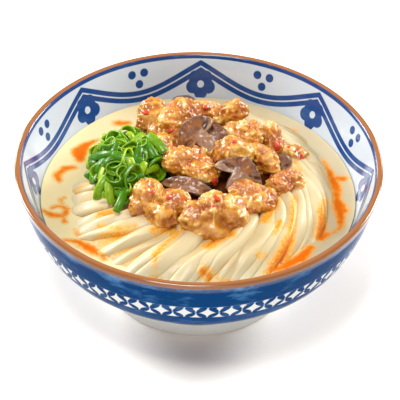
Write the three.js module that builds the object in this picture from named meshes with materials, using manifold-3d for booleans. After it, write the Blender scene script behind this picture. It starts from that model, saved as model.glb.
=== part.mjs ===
// A bowl of udon: a footed porcelain bowl, cream broth, a nest of thick noodles,
// fried chicken pieces, mushroom slices and a heap of sliced scallions.
// Millimetres, +Z up, origin on the bowl's axis at the bottom of its foot.
// -Y is the eater's side.

import * as THREE from 'three';
import { mergeVertices } from 'three/addons/utils/BufferGeometryUtils.js';
import Module from 'manifold-3d';

const wasm = await Module();
wasm.setup();

// ---- driving dimensions ----

const fitGap = 0.3; // air between two pieces that touch
const degree = Math.PI / 180;

// bowl
const rimRadius = 100;
const bowlHeight = 80;
const lipWidth = 3.8;
const lipRound = 1.0;
const footRadius = 52.7;
const footHeight = 9;
const footFlare = 1.3;
const footWidth = 4.2;
const footRecess = 3.5;
const wellHeight = 12; // inner bottom of the bowl on the axis
const bowlSegments = 44;

// broth
const brothLevel = 56.4;

// noodles
const noodleWidth = 7.8;
const noodleThickness = 6.4;
const bedCrown = 64; // top of the bare noodle core on the axis
const bedEdge = 55.2; // the same at its outline
const bedPower = 3; // how flat its top stays before it falls off
const bedFloor = 30; // its underside
const strandCount = 22;
const strandSteps = 6;

// scallions
const heapCentre = new THREE.Vector3(-40, 6, 66.5);
const heapHalf = new THREE.Vector3(19.5, 26, 17.5);
const ringRadius = 4.4;
const ringWall = 1.2;
const ringHeight = 3.6;

// ---- finishes ----

const finishes = {
  porcelain: { color: 0xdfe3e6, roughness: 0.18, metalness: 0 },
  broth: { color: 0xebdfb2, roughness: 0.25, metalness: 0 },
  noodle: { color: 0xf5efd9, roughness: 0.35, metalness: 0 },
  scallion: { color: 0x4fa51c, roughness: 0.35, metalness: 0 },
  chicken: { color: 0xdc9f5c, roughness: 0.4, metalness: 0 },
  mushroom: { color: 0x7d6259, roughness: 0.35, metalness: 0 },
};

// ---- helpers ----

// Repeatable number between 0 and 1 for a piece and a running index.
function chance(seed, index) {
  const value = Math.sin(seed * 12.9898 + index * 78.233) * 43758.5453;
  return value - Math.floor(value);
}

function smoothStep(low, high, value) {
  const part = THREE.MathUtils.clamp((value - low) / (high - low), 0, 1);
  return part * part * (3 - 2 * part);
}

// Closed solid from a geometry: shared corners merged, flat slivers left out.
function solidOf(geometry) {
  const bare = geometry.clone();
  bare.deleteAttribute('normal');
  bare.deleteAttribute('uv');
  const merged = mergeVertices(bare, 1e-4);
  const corners = merged.index.array;
  const kept = [];
  for (let i = 0; i < corners.length; i += 3) {
    const [a, b, c] = corners.slice(i, i + 3);
    if (a !== b && b !== c && c !== a) {
      kept.push(a, b, c);
    }
  }
  const mesh = new wasm.Mesh({
    numProp: 3,
    vertProperties: new Float32Array(merged.attributes.position.array),
    triVerts: new Uint32Array(kept),
  });
  mesh.merge();
  return new wasm.Manifold(mesh);
}

// The largest body of a solid: loose scraps are dropped and sealed hollows filled.
function largestBody(solid) {
  const bodies = solid.decompose();
  bodies.sort((first, second) => second.volume() - first.volume());
  return bodies[0];
}

function geometryOf(solid) {
  const mesh = solid.getMesh();
  const geometry = new THREE.BufferGeometry();
  geometry.setAttribute('position', new THREE.BufferAttribute(mesh.vertProperties, 3));
  geometry.setIndex(new THREE.BufferAttribute(mesh.triVerts, 1));
  geometry.computeVertexNormals();
  return geometry;
}

// Turned shape about the vertical axis from [radius, height] points.
function turned(points, segments) {
  const profile = points.map(([radius, height]) => new THREE.Vector2(radius, height));
  return new THREE.LatheGeometry(profile, segments).rotateX(Math.PI / 2);
}

function curvePoints(corners, count) {
  const ends = corners.map(([radius, height]) => new THREE.Vector2(radius, height));
  const curve = new THREE.CubicBezierCurve(...ends);
  return curve.getPoints(count).map((point) => [point.x, point.y]);
}

function finished(solid, name, finish) {
  const mesh = new THREE.Mesh(geometryOf(solid), new THREE.MeshStandardMaterial(finishes[finish]));
  mesh.name = name;
  return mesh;
}

// ---- bowl ----

const bellyTop = bowlHeight - lipRound;
const footTop = footRadius + footFlare;
const bellyCurve = [[rimRadius, bellyTop], [87.4, 24.6], [79.6, 42.2], [footTop, footHeight]];
const wellCurve = [[rimRadius - lipWidth, bowlHeight - 0.4], [84, 52], [78, wellHeight], [0, wellHeight]];

function makeBowl() {
  const foot = [
    [0, footRecess],
    [footRadius - footWidth - 1.2, footRecess],
    [footRadius - footWidth, 0],
    [footRadius - 0.6, 0],
    [footRadius, 0.6],
  ];
  const belly = curvePoints(bellyCurve, 7).reverse();
  const lip = [
    [rimRadius - 0.3, bowlHeight - 0.3],
    [rimRadius - lipRound, bowlHeight],
    [rimRadius - lipWidth + 0.4, bowlHeight],
  ];
  const well = curvePoints(wellCurve, 8);
  return solidOf(turned([...foot, ...belly, ...lip, ...well], bowlSegments));
}

// Inside of the bowl up to a level, drawn in from the wall by a gap.
function wellBelow(level, gap) {
  const wall = curvePoints(wellCurve, 8).reverse();
  const above = wall.findIndex(([, height]) => height > level);
  const [low, high] = [wall[above - 1], wall[above]];
  const part = (level - low[1]) / (high[1] - low[1]);
  const edge = THREE.MathUtils.lerp(low[0], high[0], part);
  const profile = [[0, wellHeight + gap]];
  for (const [radius, height] of wall.slice(1, above)) {
    profile.push([radius - gap, height + gap]);
  }
  profile.push([edge - 1.2 * gap, level]);
  profile.push([0, level]);
  return solidOf(turned(profile, bowlSegments));
}

// ---- noodles ----

// Plan outline of the noodle nest: wide at the front, short behind the toppings.
function nestRadius(angle) {
  const front = 0.5 - 0.5 * Math.sin(angle);
  const backLeft = Math.max(0, Math.cos(angle - 135 * degree)) ** 2;
  return 70 + 8 * front - 12 * backLeft;
}

// Height of the bare core under a point of the plan.
function bedHeight(x, y) {
  const share = Math.hypot(x, y) / nestRadius(Math.atan2(y, x));
  return bedEdge + (bedCrown - bedEdge) * (1 - Math.min(share, 1) ** bedPower);
}

function makeNoodleCore(grow) {
  const shares = [1, 0.86, 0.7, 0.45, 0];
  const profile = [[0, bedFloor - grow], [0.6, bedFloor - grow], [0.86, bedFloor + 9], [1, 46]];
  for (const share of shares) {
    profile.push([share, bedEdge + (bedCrown - bedEdge) * (1 - share ** bedPower) + grow]);
  }
  const geometry = turned(profile, 32);
  const places = geometry.attributes.position;
  for (let i = 0; i < places.count; i += 1) {
    const x = places.getX(i);
    const y = places.getY(i);
    const share = Math.hypot(x, y);
    const angle = Math.atan2(y, x);
    const radius = share * (nestRadius(angle) - 5) + (share > 0.5 ? grow : 0);
    places.setXY(i, radius * Math.cos(angle), radius * Math.sin(angle));
  }
  return solidOf(geometry);
}

// One noodle of the swirl: it comes out from under the toppings, runs out
// clockwise over the core and dives into the broth at its end.
function strandPath(index) {
  const order = index / (strandCount - 1);
  const endAngle = 4 - 190 * order;
  const sweep = 8 + 66 * smoothStep(-160, -30, endAngle) + 5 * (chance(3, index) - 0.5);
  const startAngle = endAngle + sweep;
  const startRadius = 38 + 30 * smoothStep(-35, 70, startAngle);
  const points = [];
  for (let k = 0; k <= strandSteps; k += 1) {
    const t = k / strandSteps;
    const angle = (startAngle - sweep * t) * degree;
    const endRadius = nestRadius(angle) + 1.5 + 3 * (chance(5, index) - 0.5);
    const radius = startRadius + (endRadius - startRadius) * t ** 1.1;
    const x = radius * Math.cos(angle);
    const y = radius * Math.sin(angle);
    const lift = 0.4 + 0.9 * chance(7, index);
    const dive = 5.5 * smoothStep(0.82, 1, t);
    points.push(new THREE.Vector3(x, y, bedHeight(x, y) + lift - dive));
  }
  return new THREE.CatmullRomCurve3(points);
}

// Rounded square section of a noodle, its first axis upright.
function noodleSection(size) {
  const section = new THREE.Shape();
  const sides = 6;
  for (let k = 0; k < sides; k += 1) {
    const angle = ((k + 0.5) / sides) * 2 * Math.PI;
    const x = 0.54 * noodleThickness * size * Math.cos(angle);
    const y = 0.54 * noodleWidth * size * Math.sin(angle);
    if (k === 0) {
      section.moveTo(x, y);
    } else {
      section.lineTo(x, y);
    }
  }
  section.closePath();
  return section;
}

function makeStrand(index) {
  const size = 0.92 + 0.16 * chance(11, index);
  const options = { steps: strandSteps, bevelEnabled: false, extrudePath: strandPath(index) };
  return solidOf(new THREE.ExtrudeGeometry(noodleSection(size), options));
}

function slab(low, high) {
  const box = new THREE.BoxGeometry(3 * rimRadius, 3 * rimRadius, high - low);
  return solidOf(box.translate(0, 0, (low + high) / 2));
}

// ---- chicken ----

const smallLump = 8.6; // a lump thinner than this takes fewer faces

// Distance from the centre of a lump to its surface in one direction, as a share of
// its half sizes: a blunt ball with a few long and short waves on it.
function lumpReach(direction, seed, depth) {
  const power = 2.5;
  const blunt = (Math.abs(direction.x) ** power + Math.abs(direction.y) ** power
    + Math.abs(direction.z) ** power) ** (-1 / power);
  let waves = 0;
  for (let k = 0; k < 6; k += 1) {
    const azimuth = 2 * Math.PI * chance(seed, 3 * k);
    const rise = 2 * chance(seed, 3 * k + 1) - 1;
    const level = Math.sqrt(1 - rise * rise);
    const along = direction.x * level * Math.cos(azimuth)
      + direction.y * level * Math.sin(azimuth) + direction.z * rise;
    const phase = 2 * Math.PI * chance(seed, 3 * k + 2);
    waves += Math.sin((2.2 + 0.9 * k) * along + phase) / Math.sqrt(k + 1);
  }
  return blunt * (1 + depth * waves);
}

function placeOf(piece) {
  const turn = new THREE.Matrix4().makeRotationZ(piece.turn * degree);
  const tilt = new THREE.Matrix4().makeRotationY(-piece.tilt * degree);
  return new THREE.Matrix4().makeTranslation(...piece.at).multiply(turn).multiply(tilt);
}

function makeLump(piece, grow) {
  const detail = Math.min(...piece.half) < smallLump ? 1 : 2;
  const geometry = new THREE.IcosahedronGeometry(1, detail);
  const places = geometry.attributes.position;
  const direction = new THREE.Vector3();
  for (let i = 0; i < places.count; i += 1) {
    direction.fromBufferAttribute(places, i).normalize();
    const reach = lumpReach(direction, piece.seed, piece.depth);
    const taper = 1 - piece.taper * direction.x;
    places.setXYZ(
      i,
      direction.x * (piece.half[0] * reach + grow),
      direction.y * (piece.half[1] * reach * taper + grow),
      direction.z * (piece.half[2] * reach * taper + grow),
    );
  }
  return solidOf(geometry.applyMatrix4(placeOf(piece)));
}

// A chili flake half sunk in the piece it lies on: [azimuth, elevation, length].
function makeFlake([azimuth, elevation, length], piece) {
  const direction = new THREE.Vector3(
    Math.cos(azimuth * degree) * Math.cos(elevation * degree),
    Math.sin(azimuth * degree) * Math.cos(elevation * degree),
    Math.sin(elevation * degree),
  );
  const reach = lumpReach(direction, piece.seed, piece.depth);
  const taper = 1 - piece.taper * direction.x;
  const flake = new THREE.OctahedronGeometry(1, 0);
  flake.scale(length / 2, length / 3, length / 3.4);
  flake.rotateZ(azimuth * 7 * degree);
  flake.translate(
    direction.x * piece.half[0] * reach,
    direction.y * piece.half[1] * reach * taper,
    direction.z * piece.half[2] * reach * taper,
  );
  return solidOf(flake.applyMatrix4(placeOf(piece)));
}

// Centre, half sizes, turn about the vertical and rise of the right end (degrees),
// wave seed and depth, narrowing towards the right end, and chili flakes.
// The first in the list keep their form, and later ones give way to them.
const chickenPieces = [
  { name: 'chicken_01', at: [-4.5, -1.5, 76], half: [16, 10, 10], turn: -38, tilt: -8,
    seed: 2, depth: 0.035, taper: 0.16, flakes: [[0, 20, 6]] },
  { name: 'chicken_02', at: [-22, -26.5, 73], half: [17, 13.5, 10], turn: -42, tilt: 0,
    seed: 5, depth: 0.11, taper: 0.05, flakes: [[200, 35, 4], [100, 50, 4], [250, 10, 3]] },
  { name: 'chicken_03', at: [6.5, -35, 71.5], half: [17.5, 14.5, 10.5], turn: 8, tilt: 0,
    seed: 8, depth: 0.1, taper: 0, flakes: [[80, 48, 5]] },
  { name: 'chicken_04', at: [31.5, -19, 72], half: [15.5, 10, 8.5], turn: -12, tilt: -4,
    seed: 11, depth: 0.11, taper: 0.12, flakes: [] },
  { name: 'chicken_05', at: [47, -1, 69], half: [11.5, 8.5, 7], turn: 12, tilt: -4,
    seed: 14, depth: 0.1, taper: 0.1, flakes: [[185, 20, 4]] },
  { name: 'chicken_06', at: [19.5, 14.5, 77.5], half: [11, 9.5, 11.5], turn: 30, tilt: 10,
    seed: 17, depth: 0.1, taper: 0, flakes: [[270, 35, 3]] },
  { name: 'chicken_07', at: [36.5, 15.5, 71.5], half: [7.5, 11, 8.5], turn: 15, tilt: 0,
    seed: 20, depth: 0.09, taper: 0, flakes: [] },
  { name: 'chicken_08', at: [-12, 35.5, 75.5], half: [11.5, 13, 14], turn: 10, tilt: 8,
    seed: 23, depth: 0.09, taper: 0, flakes: [[265, 10, 3]] },
  { name: 'chicken_09', at: [-27, 36.5, 74.5], half: [10, 11.5, 13.5], turn: -10, tilt: -8,
    seed: 26, depth: 0.1, taper: 0, flakes: [[230, 35, 4]] },
  { name: 'chicken_10', at: [25, 30, 75], half: [11.5, 10, 10.5], turn: -20, tilt: -5,
    seed: 29, depth: 0.08, taper: 0, flakes: [] },
  { name: 'chicken_11', at: [16.5, 45, 74.5], half: [12.5, 7.5, 9], turn: 12, tilt: 26,
    seed: 32, depth: 0.08, taper: 0.08, flakes: [] },
  { name: 'chicken_12', at: [4.5, 44.5, 71.5], half: [9.5, 8, 11], turn: 0, tilt: 0,
    seed: 35, depth: 0.09, taper: 0, flakes: [[265, 65, 4.5]] },
  { name: 'chicken_13', at: [41, 33, 69.5], half: [8, 10.5, 7], turn: 8, tilt: 0,
    seed: 38, depth: 0.1, taper: 0, flakes: [[270, 40, 4.5]] },
  { name: 'chicken_14', at: [53.5, 26, 65], half: [7, 5.5, 4.5], turn: -25, tilt: 0,
    seed: 41, depth: 0.09, taper: 0, flakes: [] },
  { name: 'chicken_15', at: [-18.5, 19, 72], half: [7.5, 9, 8.5], turn: 0, tilt: 0,
    seed: 44, depth: 0.09, taper: 0, flakes: [] },
  { name: 'chicken_16', at: [5, 12.5, 69.5], half: [10, 9.5, 7.5], turn: -20, tilt: 0,
    seed: 47, depth: 0.08, taper: 0, flakes: [] },
];

// ---- mushrooms ----

// Outline of a sliced mushroom about the foot of its cap, as a radius for each
// direction: a domed cap above, flat gills below, and the stem straight down.
function sliceOutline(angle, piece, grow) {
  const up = Math.sin(angle);
  const side = Math.cos(angle);
  const depth = up > 0 ? piece.capHeight : piece.gillDepth;
  const cap = 1 / Math.hypot(side / piece.capHalf, up / depth);
  const sideways = Math.max(Math.abs(side), 1e-6);
  const stem = Math.min(piece.stemLength / Math.max(-up, 1e-6), piece.stemHalf / sideways);
  return (up < 0 ? Math.max(cap, stem) : cap) + grow;
}

function makeSlice(piece, grow) {
  const corners = 18;
  const outline = new THREE.Shape();
  for (let k = 0; k < corners; k += 1) {
    const angle = ((k + 0.5) / corners) * 2 * Math.PI;
    const radius = sliceOutline(angle, piece, grow) - 1;
    if (k === 0) {
      outline.moveTo(radius * Math.cos(angle), radius * Math.sin(angle));
    } else {
      outline.lineTo(radius * Math.cos(angle), radius * Math.sin(angle));
    }
  }
  outline.closePath();
  const flat = piece.thickness + 2 * grow - 2;
  const geometry = new THREE.ExtrudeGeometry(outline, {
    depth: flat,
    bevelSize: 1,
    bevelThickness: 1,
    bevelSegments: 1,
  });
  geometry.translate(0, 0, -flat / 2);
  const places = geometry.attributes.position;
  for (let i = 0; i < places.count; i += 1) {
    const bow = piece.bow * (places.getX(i) / piece.capHalf) ** 2;
    places.setZ(i, places.getZ(i) - bow);
  }
  const pitch = new THREE.Matrix4().makeRotationX(piece.pitch * degree);
  const roll = new THREE.Matrix4().makeRotationZ(piece.roll * degree);
  const turn = new THREE.Matrix4().makeRotationZ(piece.turn * degree);
  const place = new THREE.Matrix4().makeTranslation(...piece.at);
  place.multiply(turn).multiply(pitch).multiply(roll);
  return solidOf(geometry.applyMatrix4(place));
}

// Foot of the cap, turn about the vertical, pitch of the cut face from level, roll
// in the plane of the cut face, sizes of cap, gills and stem, and the slice's bow.
const mushroomSlices = [
  { name: 'mushroom_01', at: [23, -6.5, 78], turn: 12, pitch: 50, roll: -18, capHalf: 13.5,
    capHeight: 8, gillDepth: 7, stemHalf: 4.2, stemLength: 15, thickness: 5.5, bow: 2.5 },
  { name: 'mushroom_02', at: [0.5, 17.5, 83], turn: 8, pitch: 46, roll: 52, capHalf: 13.5,
    capHeight: 11.5, gillDepth: 7, stemHalf: 4.5, stemLength: 9, thickness: 6, bow: 3 },
  { name: 'mushroom_03', at: [-5, -12, 72.5], turn: -18, pitch: 24, roll: 0, capHalf: 15.5,
    capHeight: 6, gillDepth: 3.5, stemHalf: 3.5, stemLength: 5, thickness: 5, bow: 2 },
  { name: 'mushroom_04', at: [9, 26, 81], turn: -10, pitch: 40, roll: -50, capHalf: 7.5,
    capHeight: 5.5, gillDepth: 3, stemHalf: 3, stemLength: 6, thickness: 5, bow: 1 },
  { name: 'mushroom_05', at: [-9.5, 48.5, 74.5], turn: 5, pitch: 70, roll: 0, capHalf: 9,
    capHeight: 9, gillDepth: 7, stemHalf: 4, stemLength: 10, thickness: 7, bow: 2 },
  { name: 'mushroom_06', at: [45, 12.5, 68.5], turn: -20, pitch: 60, roll: 10, capHalf: 5.5,
    capHeight: 5, gillDepth: 3, stemHalf: 2.4, stemLength: 5, thickness: 4.5, bow: 1 },
];

// ---- scallions ----

// Point of the heap's surface for a running index, spread evenly by a golden spiral.
function heapPoint(index, count, reach) {
  const rise = 1 - (1.25 * (index + 0.5)) / count;
  const angle = index * 137.5 * degree;
  const level = Math.sqrt(1 - rise * rise);
  return new THREE.Vector3(
    heapCentre.x + heapHalf.x * reach * level * Math.cos(angle),
    heapCentre.y + heapHalf.y * reach * level * Math.sin(angle),
    heapCentre.z + heapHalf.z * reach * rise,
  );
}

function makeHeapCore(grow) {
  const geometry = new THREE.IcosahedronGeometry(1, 2);
  const shrink = 0.9;
  const places = geometry.attributes.position;
  const direction = new THREE.Vector3();
  for (let i = 0; i < places.count; i += 1) {
    direction.fromBufferAttribute(places, i).normalize();
    const reach = shrink * lumpReach(direction, 50, 0.04) * 0.97;
    places.setXYZ(
      i,
      heapCentre.x + direction.x * (heapHalf.x * reach + grow),
      heapCentre.y + direction.y * (heapHalf.y * reach + grow),
      heapCentre.z + direction.z * (heapHalf.z * reach + grow),
    );
  }
  return solidOf(geometry);
}

// A sliced ring of scallion leaf, its axis along Z.
function ringShape(index) {
  const radius = ringRadius * (0.75 + 0.45 * chance(61, index));
  const half = (ringHeight / 2) * (0.8 + 0.5 * chance(62, index));
  const inner = radius - ringWall;
  const profile = [[inner, half], [inner, -half], [radius, -half], [radius, half], [inner, half]];
  return turned(profile, 6).scale(1, 0.72 + 0.28 * chance(63, index), 1);
}

// A curled strip of scallion leaf, its length along X.
function stripShape(index) {
  const length = 9 + 6 * chance(64, index);
  const strip = new THREE.BoxGeometry(length, 3.4, 1.4, 3, 1, 1);
  const places = strip.attributes.position;
  for (let i = 0; i < places.count; i += 1) {
    const x = places.getX(i);
    places.setZ(i, places.getZ(i) - 2.2 * (x / (length / 2)) ** 2);
  }
  return strip;
}

// A cut piece of scallion turned to lie on the heap.
function makeCut(index, count) {
  const seat = heapPoint(index, count, 0.93);
  const outward = seat.clone().sub(heapCentre).divide(heapHalf).normalize();
  const isRing = index % 2 === 0;
  const shape = isRing ? ringShape(index) : stripShape(index);
  const lean = new THREE.Vector3(
    chance(71, index) - 0.5,
    chance(72, index) - 0.5,
    chance(73, index) - 0.2,
  );
  const axis = outward.addScaledVector(lean, 0.9).normalize();
  const spin = new THREE.Matrix4().makeRotationZ(2 * Math.PI * chance(74, index));
  const aim = new THREE.Quaternion().setFromUnitVectors(new THREE.Vector3(0, 0, 1), axis);
  const place = new THREE.Matrix4().makeTranslation(seat.x, seat.y, seat.z);
  place.multiply(new THREE.Matrix4().makeRotationFromQuaternion(aim)).multiply(spin);
  return solidOf(shape.applyMatrix4(place));
}

// ---- the whole bowl ----

function overlaps(first, second) {
  return first.intersect(second).volume() > 1e-6;
}

const group = new THREE.Group();

const noodleCore = makeNoodleCore(0);
const brothBox = slab(0, brothLevel + fitGap);
const ground = makeNoodleCore(fitGap).add(brothBox);
const heapCore = largestBody(makeHeapCore(0).subtract(ground));

// Toppings are set on the bare core, each clear of those before it.
let taken = makeHeapCore(fitGap * 1.4);
const toppings = [];
const order = [
  ...chickenPieces.slice(0, 1),
  ...mushroomSlices.slice(0, 3),
  ...chickenPieces.slice(1),
  ...mushroomSlices.slice(3),
];
for (const piece of order) {
  const isChicken = 'flakes' in piece;
  const make = isChicken ? makeLump : makeSlice;
  let solid = largestBody(make(piece, 0).subtract(taken).subtract(ground));
  for (const flake of piece.flakes ?? []) {
    const bit = makeFlake(flake, piece);
    if (!overlaps(bit, taken)) {
      solid = largestBody(solid.add(bit));
      taken = taken.add(bit);
    }
  }
  taken = taken.add(make(piece, fitGap * 1.5));
  toppings.push(finished(solid, piece.name, isChicken ? 'chicken' : 'mushroom'));
}

// Noodle strands keep clear of the toppings and of the broth.
let noodles = noodleCore;
for (let index = 0; index < strandCount; index += 1) {
  noodles = noodles.add(makeStrand(index).subtract(taken).subtract(brothBox));
}
noodles = largestBody(noodles);

// Cut scallions are skipped where they would cross anything but their own core.
const cutCount = 32;
const toppingSolids = toppings.map((mesh) => solidOf(mesh.geometry));
const others = wasm.Manifold.union([...toppingSolids, noodles, brothBox]);
let scallions = heapCore;
for (let index = 0; index < cutCount; index += 1) {
  const cut = makeCut(index, cutCount);
  if (!overlaps(cut, others)) {
    scallions = scallions.add(cut);
  }
}
scallions = largestBody(scallions);

const broth = largestBody(wellBelow(brothLevel, fitGap).subtract(makeNoodleCore(fitGap)));

group.add(finished(makeBowl(), 'bowl', 'porcelain'));
group.add(finished(broth, 'broth', 'broth'));
group.add(finished(noodles, 'noodles', 'noodle'));
group.add(finished(scallions, 'scallions', 'scallion'));
group.add(...toppings);

export default group;
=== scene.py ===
# %% [markdown]
# # A bowl of udon with chicken, mushrooms and spring onion
#
# This lesson dresses a imported CAD model of a noodle bowl. The CAD model holds a plain form of each
# piece. The pieces here are richer, and differ from those in size and place by some millimetres.
# Every piece here is a surface worked out with numpy in millimetres, put into a mesh in metres, and
# given a procedural material. It begins with the frame: the imported model is loaded.

# %% Load the frame
import itertools

import bpy
import numpy as np
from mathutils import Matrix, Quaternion, Vector


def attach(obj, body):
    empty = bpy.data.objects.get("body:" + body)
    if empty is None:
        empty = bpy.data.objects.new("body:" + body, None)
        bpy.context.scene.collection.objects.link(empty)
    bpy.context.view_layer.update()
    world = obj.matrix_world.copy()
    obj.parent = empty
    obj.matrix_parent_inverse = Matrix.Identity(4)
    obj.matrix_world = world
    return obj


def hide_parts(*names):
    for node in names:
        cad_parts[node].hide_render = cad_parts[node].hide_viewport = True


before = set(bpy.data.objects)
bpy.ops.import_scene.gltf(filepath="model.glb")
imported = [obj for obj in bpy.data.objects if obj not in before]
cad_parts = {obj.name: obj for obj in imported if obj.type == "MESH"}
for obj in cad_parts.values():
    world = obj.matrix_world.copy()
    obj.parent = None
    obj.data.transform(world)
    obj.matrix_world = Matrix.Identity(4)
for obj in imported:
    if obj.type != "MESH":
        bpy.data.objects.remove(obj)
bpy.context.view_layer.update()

# %% [markdown]
# ## Camera
#
# Food is mostly pictured from a seat at the table with a long lens, which keeps the bowl's ellipse
# free of distortion. The camera could be aimed by an empty and a constraint, but its place is
# simple to work out: a distance and a height angle from a point on the bowl's axis, and a small
# roll.

# %% Camera
MM = 0.001
camera_height = np.radians(40.632)
camera_distance = 1.37186
camera_roll = np.radians(1.234)
camera_lens = 223.94
sight_limit = 20
axis_point = Vector((0, 0, 0.045))
aim_right, aim_up = 0.00102, 0.00599


def new_object(name, data):
    """An object with this data, linked to the scene."""
    made = bpy.data.objects.new(name, data)
    bpy.context.scene.collection.objects.link(made)
    return made


back = Vector((0, -np.cos(camera_height), np.sin(camera_height)))
right = Vector((1, 0, 0))
aim = axis_point + right * aim_right + back.cross(right) * aim_up

camera = new_object("camera", bpy.data.cameras.new("camera"))
camera.data.lens = camera_lens
camera.data.clip_end = sight_limit
camera.location = axis_point + back * camera_distance
look = (aim - camera.location).to_track_quat("-Z", "Y")
camera.rotation_mode = "QUATERNION"
camera.rotation_quaternion = look @ Quaternion((0, 0, 1), camera_roll)
bpy.context.scene.camera = camera
print("camera at", [round(c, 3) for c in camera.location])

# %% [markdown]
# ## Chance and noise
#
# Food is uneven, but the script has to give the same bowl on each run. So nothing is drawn from a
# random generator: a number that looks random is the fraction of a large sine, and noise in space
# is worked out from whole-number cells. Both take whole arrays of points at once.

# %% Chance and noise helpers
# The start value of a search for the nearest thing, in mm or grains, lies beyond any that counts.
far = 9.0
# The span of a turn left to chance, in radians, is a full turn to two digits.
any_turn = 6.28


def chance(seed, index):
    """Repeatable number from 0 to 1: the fraction of a large sine of the seed and an index."""
    value = np.sin(seed * 12.9898 + np.asarray(index) * 78.233) * 43758.5453
    return value - np.floor(value)


def smooth_step(low, high, value):
    """0 below low, 1 above high, and an S curve (3 t^2 - 2 t^3) between them."""
    part = np.clip((value - low) / (high - low), 0, 1)
    return part * part * (3 - 2 * part)


def cell_value(cell, seed):
    """Repeatable number from 0 to 1 for whole-number cells (..., 3), mixed by large factors."""
    mixed = (cell @ np.array([374761393, 668265263, 1103515245]) + seed * 974634777) & 0xFFFFFFFF
    mixed = ((mixed ^ (mixed >> 13)) * 1274126177) & 0xFFFFFFFF
    return (mixed ^ (mixed >> 16)) / 2**32


def noise(points, grain, seed):
    """Smooth noise from 0 to 1: cell corners, `grain` mm apart, hold values blended by S curves."""
    scaled = points / grain
    cell = np.floor(scaled).astype(np.int64)
    part = smooth_step(0, 1, scaled - cell)
    total = 0
    for corner in itertools.product((0, 1), repeat=3):
        weight = np.prod(np.where(corner, part, 1 - part), axis=-1)
        total = total + weight * cell_value(cell + np.array(corner), seed)
    return total


def crumbs(points, grain, seed):
    """Cell noise: distance, in grains, to the nearest of the points that lie one in each cell."""
    scaled = points / grain
    cell = np.floor(scaled).astype(np.int64)
    nearest = np.full(points.shape[:-1], far)
    for step in itertools.product((-1, 0, 1), repeat=3):
        near = cell + np.array(step)
        seat = near + np.stack([cell_value(near, seed + k) for k in range(3)], axis=-1)
        nearest = np.minimum(nearest, np.linalg.norm(scaled - seat, axis=-1))
    return nearest


sample = np.stack(np.meshgrid(*[np.arange(0, 30, 1.5)] * 3), axis=-1).reshape(-1, 3)
print("noise range", noise(sample, 4, 1).min().round(2), noise(sample, 4, 1).max().round(2))

# %% [markdown]
# ## Closed surfaces
#
# Nearly every piece of food is a closed skin: a lump, a noodle, a leaf strip, the bowl itself. Each
# can be seen as a pile of rings between two end points, so one rule makes the faces of all of them.
# A cut ring of spring onion closes on itself both ways, which is the second rule. The volume's sign
# tells whether the faces look outwards, and they are turned round if they don't.

# %% Rules for faces, and the mesh maker
def full_turn(count):
    """So many angles from 0 towards a full turn, evenly spread, with the full turn left out."""
    return np.linspace(0, 2 * np.pi, count, endpoint=False)


def rounded(wave, power):
    """A cosine or sine pressed towards a square wave: its sign times its size to a small power."""
    return np.sign(wave) * np.abs(wave) ** power


def turned(radius, height, turn):
    """Rings about the bowl's axis: one row for each radius and height, one column for each turn."""
    levels = np.repeat(height[:, None], len(turn), axis=1)
    return np.stack([radius * np.cos(turn), radius * np.sin(turn), levels], axis=-1)


def outward(points, quads, triangles):
    """The same faces, all turned round if the volume that they enclose comes out negative."""
    halves = np.concatenate([quads[:, [0, 1, 2]], quads[:, [0, 2, 3]], triangles])
    a, b, c = points[halves].transpose(1, 0, 2)
    if np.einsum("ij,ij->", a, np.cross(b, c)) < 0:
        return quads[:, ::-1], triangles[:, ::-1]
    return quads, triangles


def capped(rings, start, end, **values):
    """Closed skin from rings (rows, columns, 3): quads between rings, a fan to each end point."""
    rows, columns = rings.shape[:2]
    index = np.arange(rows * columns).reshape(rows, columns)
    beside = np.roll(index, -1, axis=1)
    quads = np.stack([index[:-1], beside[:-1], beside[1:], index[1:]], axis=-1).reshape(-1, 4)
    first = np.full(columns, rows * columns)
    triangles = np.concatenate([
        np.stack([beside[0], index[0], first], axis=-1),
        np.stack([index[-1], beside[-1], first + 1], axis=-1),
    ])
    points = np.concatenate([rings.reshape(-1, 3), [start], [end]])
    quads, triangles = outward(points, quads, triangles)
    ends = {name: (grid[0].mean(), grid[-1].mean()) for name, grid in values.items()}
    filled = {name: np.append(grid.ravel(), ends[name]) for name, grid in values.items()}
    return {"points": points, "quads": quads, "triangles": triangles, "values": filled}


def looped(rings, **values):
    """Closed skin from rings whose last one joins the first, as on a wreath."""
    rows, columns = rings.shape[:2]
    index = np.arange(rows * columns).reshape(rows, columns)
    after = np.roll(index, -1, axis=0)
    corners = [index, np.roll(index, -1, axis=1), np.roll(after, -1, axis=1), after]
    quads = np.stack(corners, axis=-1).reshape(-1, 4)
    points = rings.reshape(-1, 3)
    quads, triangles = outward(points, quads, np.empty((0, 3), np.int64))
    filled = {name: grid.ravel() for name, grid in values.items()}
    return {"points": points, "quads": quads, "triangles": triangles, "values": filled}


def make_piece(name, parts, material, replaced=()):
    """One smooth mesh object at the origin from closed skins in mm, with values as attributes."""
    starts = np.cumsum([0] + [len(part["points"]) for part in parts])
    faces = []
    for part, start in zip(parts, starts):
        faces += (part["quads"] + start).tolist() + (part["triangles"] + start).tolist()
    mesh = bpy.data.meshes.new(name)
    points = np.concatenate([part["points"] for part in parts]) * MM
    mesh.from_pydata(points.tolist(), [], faces)
    mesh.shade_smooth()
    for key in parts[0]["values"]:
        column = np.concatenate([part["values"][key] for part in parts]).astype(np.float32)
        mesh.attributes.new(key, "FLOAT", "POINT").data.foreach_set("value", column)
    mesh.materials.append(material)
    piece = new_object(name, mesh)
    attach(piece, "root")
    if replaced:
        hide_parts(*replaced)
    print(f"{name}: {len(parts)} skins, {len(points)} points, {len(faces)} faces")


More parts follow.
